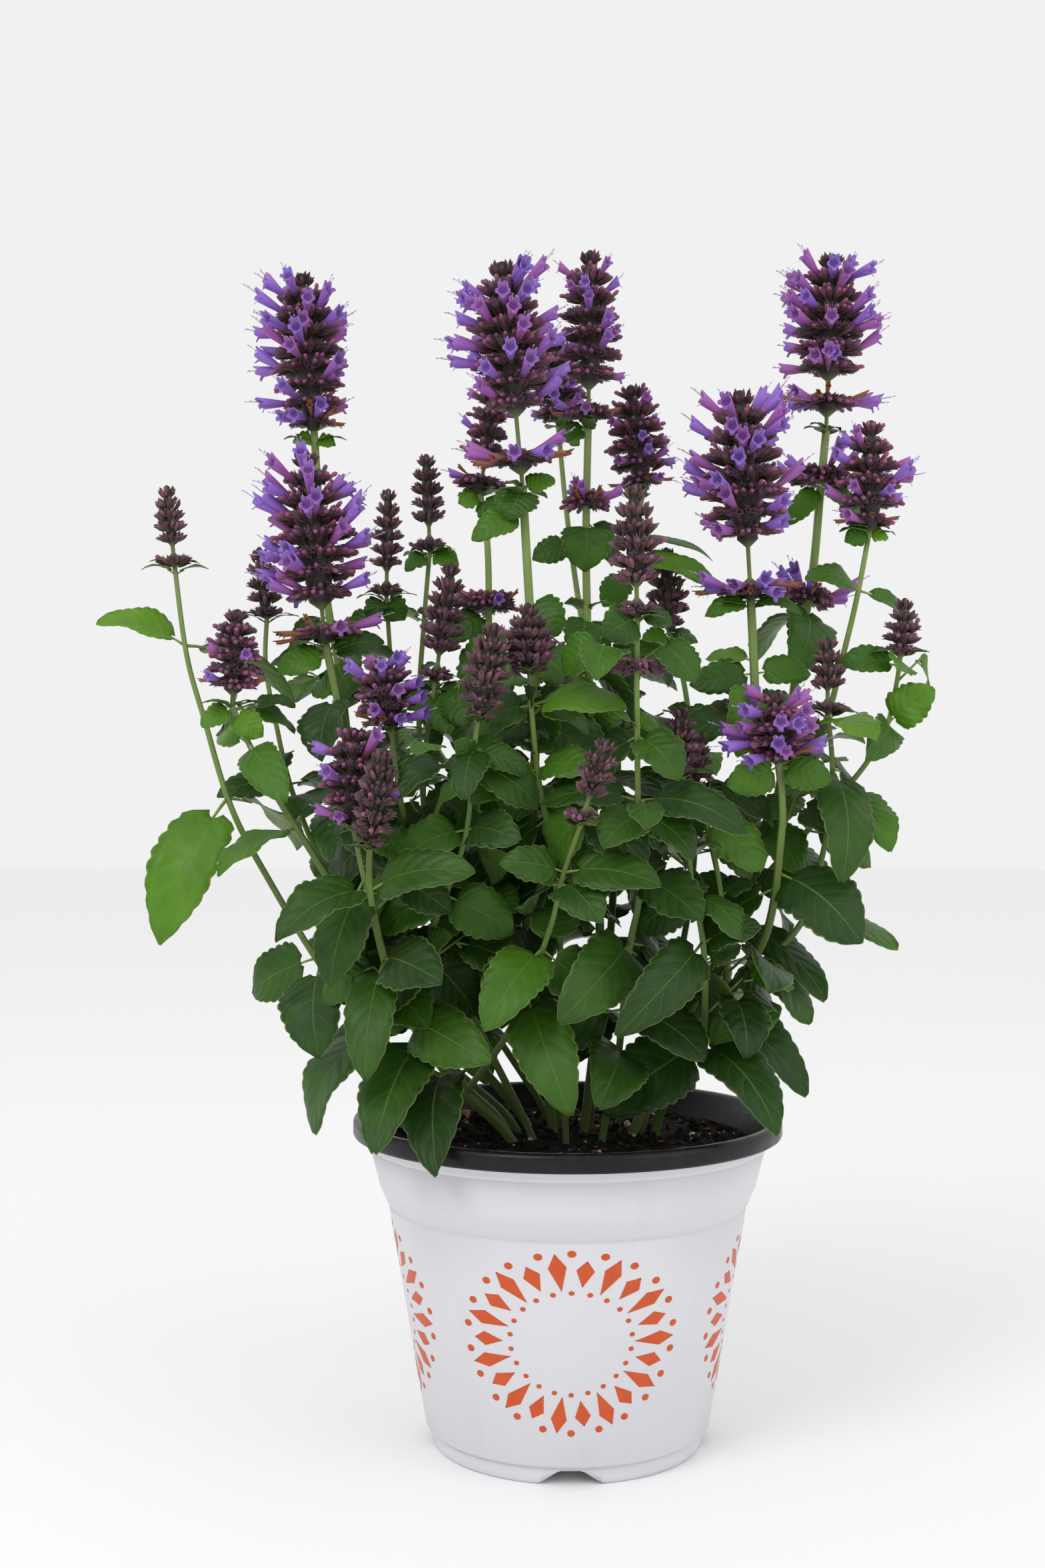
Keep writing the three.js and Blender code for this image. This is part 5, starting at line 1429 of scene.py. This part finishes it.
# How ripe calyces are, how much further out than the solid's they stand, how much flowers rise with height,
# how calyces lean from foot to tip, how far up they are open and how many of those are closed after all, how
# many flowers, how many of the rest show buds, how far both reach, and how many dried flowers
BUD_LOOK = dict(ripe=0.35, beyond=1.2, rise=30, lean=(22, 62), open_to=0.6, closed=0.55, flowers=0, reach=4,
                buds=0.12, bud_reach=2.5, dried=0)
BLOOM_LOOK = dict(ripe=0.95, beyond=1.08, rise=30, lean=(-6, 58), open_to=0.93, closed=0.03, buds=0.6,
                  bud_reach=3.5)
FLOWERS_OF_FLORETS = 0.38
FLOWER_BEYOND = 2.5
LONG_HEAD = 8


def drawn_path(name):
    """A stem's points, with a fork's first one moved onto the smooth curve that it forks from."""
    shoot = SHOOTS[name]
    if "on" not in shoot:
        return shoot["path"]
    return [tuple(smooth(drawn_path(shoot["on"]), shoot["at"])), *shoot["path"][1:]]


def look_of(shoot):
    if "bloom" not in shoot:
        return BUD_LOOK
    return dict(BLOOM_LOOK, flowers=round(FLOWERS_OF_FLORETS * shoot["florets"] ** 2),
                reach=shoot["bloom"] - max(shoot["rows"]) + FLOWER_BEYOND,
                dried=6 if len(shoot["rows"]) > LONG_HEAD else 3)


def add_stem(pieces, shoot, path):
    places = np.linspace(0, len(path) - 1, (len(path) - 1) * STEM_STEPS + 1)
    points = np.array([smooth(path, place) for place in places])
    radii = [thickness_at(shoot, place) for place in places]
    height = np.clip((points[:, 2] - STEM_COLOURS_FROM) / (STEM_COLOURS_TO - STEM_COLOURS_FROM), 0, 1)
    ripe = np.clip(places - (len(path) - 2), 0, 1) * 0.5
    add_tube(pieces, points, radii, square_section(), LEAFY_SLOTS["stem"],
             np.stack([height, ripe, 0 * ripe], axis=1), (0.5, 0, 0))


def shade_of(leaf, chance):
    """How much painted light a leaf gets: lighter high up and at the outside, darker low down and inside the
    plant where shade falls, with a random spread.
    """
    out = np.hypot(leaf.middle[0], leaf.middle[1]) / 150
    high = (leaf.middle[2] - 170) / 250
    return float(np.clip(0.1 + 0.34 * out + 0.3 * high + chance.uniform(*SHADE_RANGE), 0, 1))


def drawn_facing(leaf, chance):
    """Leaves roll a little more towards their own side of the plant, front or back."""
    if leaf.facing > PLACED_FACING:
        return leaf.facing
    return chance.uniform(*(FRONT_FACING if leaf.tip[1] < FRONT_TO else BACK_FACING))


def add_leaves(pieces, name, path, leaves, chance):
    """A shoot's settled leaves, moved with its smooth stem, and those placed after the photo."""
    straight_path = SHOOTS[name]["path"]
    nodes = np.linspace(0, len(path) - 1, (len(path) - 1) * STEM_NODES + 1)
    straight = np.array([along(straight_path, place) for place in nodes])
    for leaf in leaves:
        place = nodes[np.argmin(np.linalg.norm(straight - leaf.base, axis=1))]
        shift = smooth(path, place) - along(straight_path, place)
        leaf = Leaf(leaf.base, leaf.tip, leaf.width, drawn_facing(leaf, chance))
        add_leaf(pieces, leaf, shift, chance, shade_of(leaf, chance))
    for place, tip, width, facing in EXTRA_LEAVES.get(name, ()):
        leaf = Leaf(smooth(path, min(place, len(path) - 1.001)), tip, width, facing)
        add_leaf(pieces, leaf, 0, chance, shade_of(leaf, chance))


def add_whorls(pieces, shoot, path, chance):
    look = look_of(shoot)
    few = dict(look, **WHORL_LOOK, flowers=min(look["flowers"], WHORL_FLOWERS),
               dried=WHORL_DRIED if look["flowers"] else 0)
    for place, radius in shoot.get("whorls", ()):
        middle = smooth(path, place)
        ahead = unit(smooth(path, min(place + 0.05, len(path) - 1.001)) - smooth(path, place - 0.05))
        add_whorl_rows(pieces, middle - ahead * WHORL_BELOW, middle + ahead * WHORL_ABOVE,
                       (radius, radius, radius * WHORL_TAPER), chance, LEAFY_SLOTS, few)


def make_plant(root, settled, twigs):
    """A standing stem with its forks, leaves, twigs and whorls."""
    pieces = Pieces()
    for number, (name, shoot) in enumerate(SHOOTS.items()):
        if root_of(name) != root:
            continue
        chance = np.random.default_rng(SEED + number)
        path = drawn_path(name)
        add_stem(pieces, shoot, path)
        add_leaves(pieces, name, path, settled[name], chance)
        for twig in twigs[name]:
            count = len(TWIG_TAPER)
            points = twig.base + (twig.tip - twig.base) * np.linspace(0, 1, count)[:, None]
            add_tube(pieces, points, TWIG_RADIUS * TWIG_TAPER, square_section(), LEAFY_SLOTS["stem"],
                     np.full((count, 3), (0.5, 0, 0)), (0.5, 0, 0))
        for below, length in BRACTS:
            place = len(path) - 1 - below - NODE_RISE
            for leaf in pair(shoot, place, length, 0, BRACT_WIDTH, BRACT_RISE):
                add_leaf(pieces, leaf, 0, chance, BRACT_SHADE)
        add_whorls(pieces, shoot, path, chance)
    return pieces


def make_head(shoot, number):
    """One shoot's flower head."""
    pieces = Pieces()
    chance = np.random.default_rng(SEED * 2 + number)
    base, tip = point(shoot["path"][-1]), point(shoot["tip"])
    add_core(pieces, base, tip, shoot["rows"], HEAD_SLOTS["stem"])
    add_whorl_rows(pieces, base, tip, shoot["rows"], chance, HEAD_SLOTS, look_of(shoot))
    return pieces


def hand_in(pieces, name, materials, slot, *nodes):
    made = pieces.build(name, materials)
    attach(made, "root")
    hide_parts(*nodes)


def make_part():
    pot = make_pot()
    add_print(pot, 2)
    hand_in(pot, "pot_shell", [WHITE, BLACK, PRINT], "pot", "pot")
    soil = make_soil(np.random.default_rng(SEED))
    hand_in(soil, "peat_fill", [PEAT, BARK, PERLITE, DEAD_FLOWER], "soil", "soil")
    hand_in(make_fallen_leaf(), "curled_dead_leaf", [DEAD_LEAF], "dead_leaf", "fallen_leaf")
    settled, twigs = settle_leaves()
    for name, shoot in SHOOTS.items():
        if "on" not in shoot:
            hand_in(make_plant(name, settled, twigs), "leafy_" + name, [STEM, LEAF, CALYX_SKIN, PETAL],
                    "leaf_and_stem", "stem_" + name)
    for number, (name, shoot) in enumerate(SHOOTS.items()):
        hand_in(make_head(shoot, number), "spike_" + name, [CALYX_SKIN, PETAL, STEM, LEAF],
                "bloom" if "bloom" in shoot else "bud", "head_" + name)


# Studio, in metres but for the camera: where that stood, in millimetres, and its focal length in pixels of
# the picture's height
CAMERA_AT = (-21.2, -900, 309)
FOCAL_PIXELS = 2850
PICTURE_HEIGHT = 2352
SENSOR = 36
# Where a lamp is, what it looks at, its size and its power
LAMPS = {
    "key": ((-0.9, -1.3, 1.7), (-0.02, 0, 0.28), 1.0, 12),
    "fill": ((1.3, -1.0, 0.9), (-0.02, 0, 0.25), 1.4, 4),
}
SKY_STRENGTH = 0.88
FLOOR_HALF = 6


def make_lamp(name, at, towards, size, power):
    data = bpy.data.lights.new(name, "AREA")
    data.shape = "DISK"
    data.size = size
    data.energy = power
    made = bpy.data.objects.new(name, data)
    made.location = at
    made.rotation_euler = (Vector(towards) - Vector(at)).to_track_quat("-Z", "Y").to_euler()
    bpy.context.scene.collection.objects.link(made)


def make_floor():
    mesh = bpy.data.meshes.new("floor")
    corners = [(-1, -1), (1, -1), (1, 1), (-1, 1)]
    mesh.from_pydata([(x * FLOOR_HALF, y * FLOOR_HALF, 0) for x, y in corners], [], [(0, 1, 2, 3)])
    floor = bpy.data.objects.new("floor", mesh)
    bpy.context.scene.collection.objects.link(floor)
    mesh.materials.append(Skin("pale_floor", Base_Color=(0.95, 0.95, 0.95, 1), Roughness=0.8).material)


def make_studio():
    scene = bpy.context.scene
    scene.view_settings.view_transform = "Standard"
    world = bpy.data.worlds.new("soft_sky")
    scene.world = world
    world.use_nodes = True
    background = world.node_tree.nodes["Background"]
    background.inputs["Color"].default_value = (1.0, 1.0, 1.0, 1)
    background.inputs["Strength"].default_value = SKY_STRENGTH
    for name, lamp in LAMPS.items():
        make_lamp(name, *lamp)
    camera = bpy.data.cameras.new("camera")
    camera.sensor_width = SENSOR
    camera.lens = FOCAL_PIXELS / PICTURE_HEIGHT * SENSOR
    made = bpy.data.objects.new("camera", camera)
    made.location = tuple(length * MM for length in CAMERA_AT)
    made.rotation_euler = (math.pi / 2, 0, 0)
    scene.collection.objects.link(made)
    scene.camera = made


make_studio()
make_floor()
make_part()
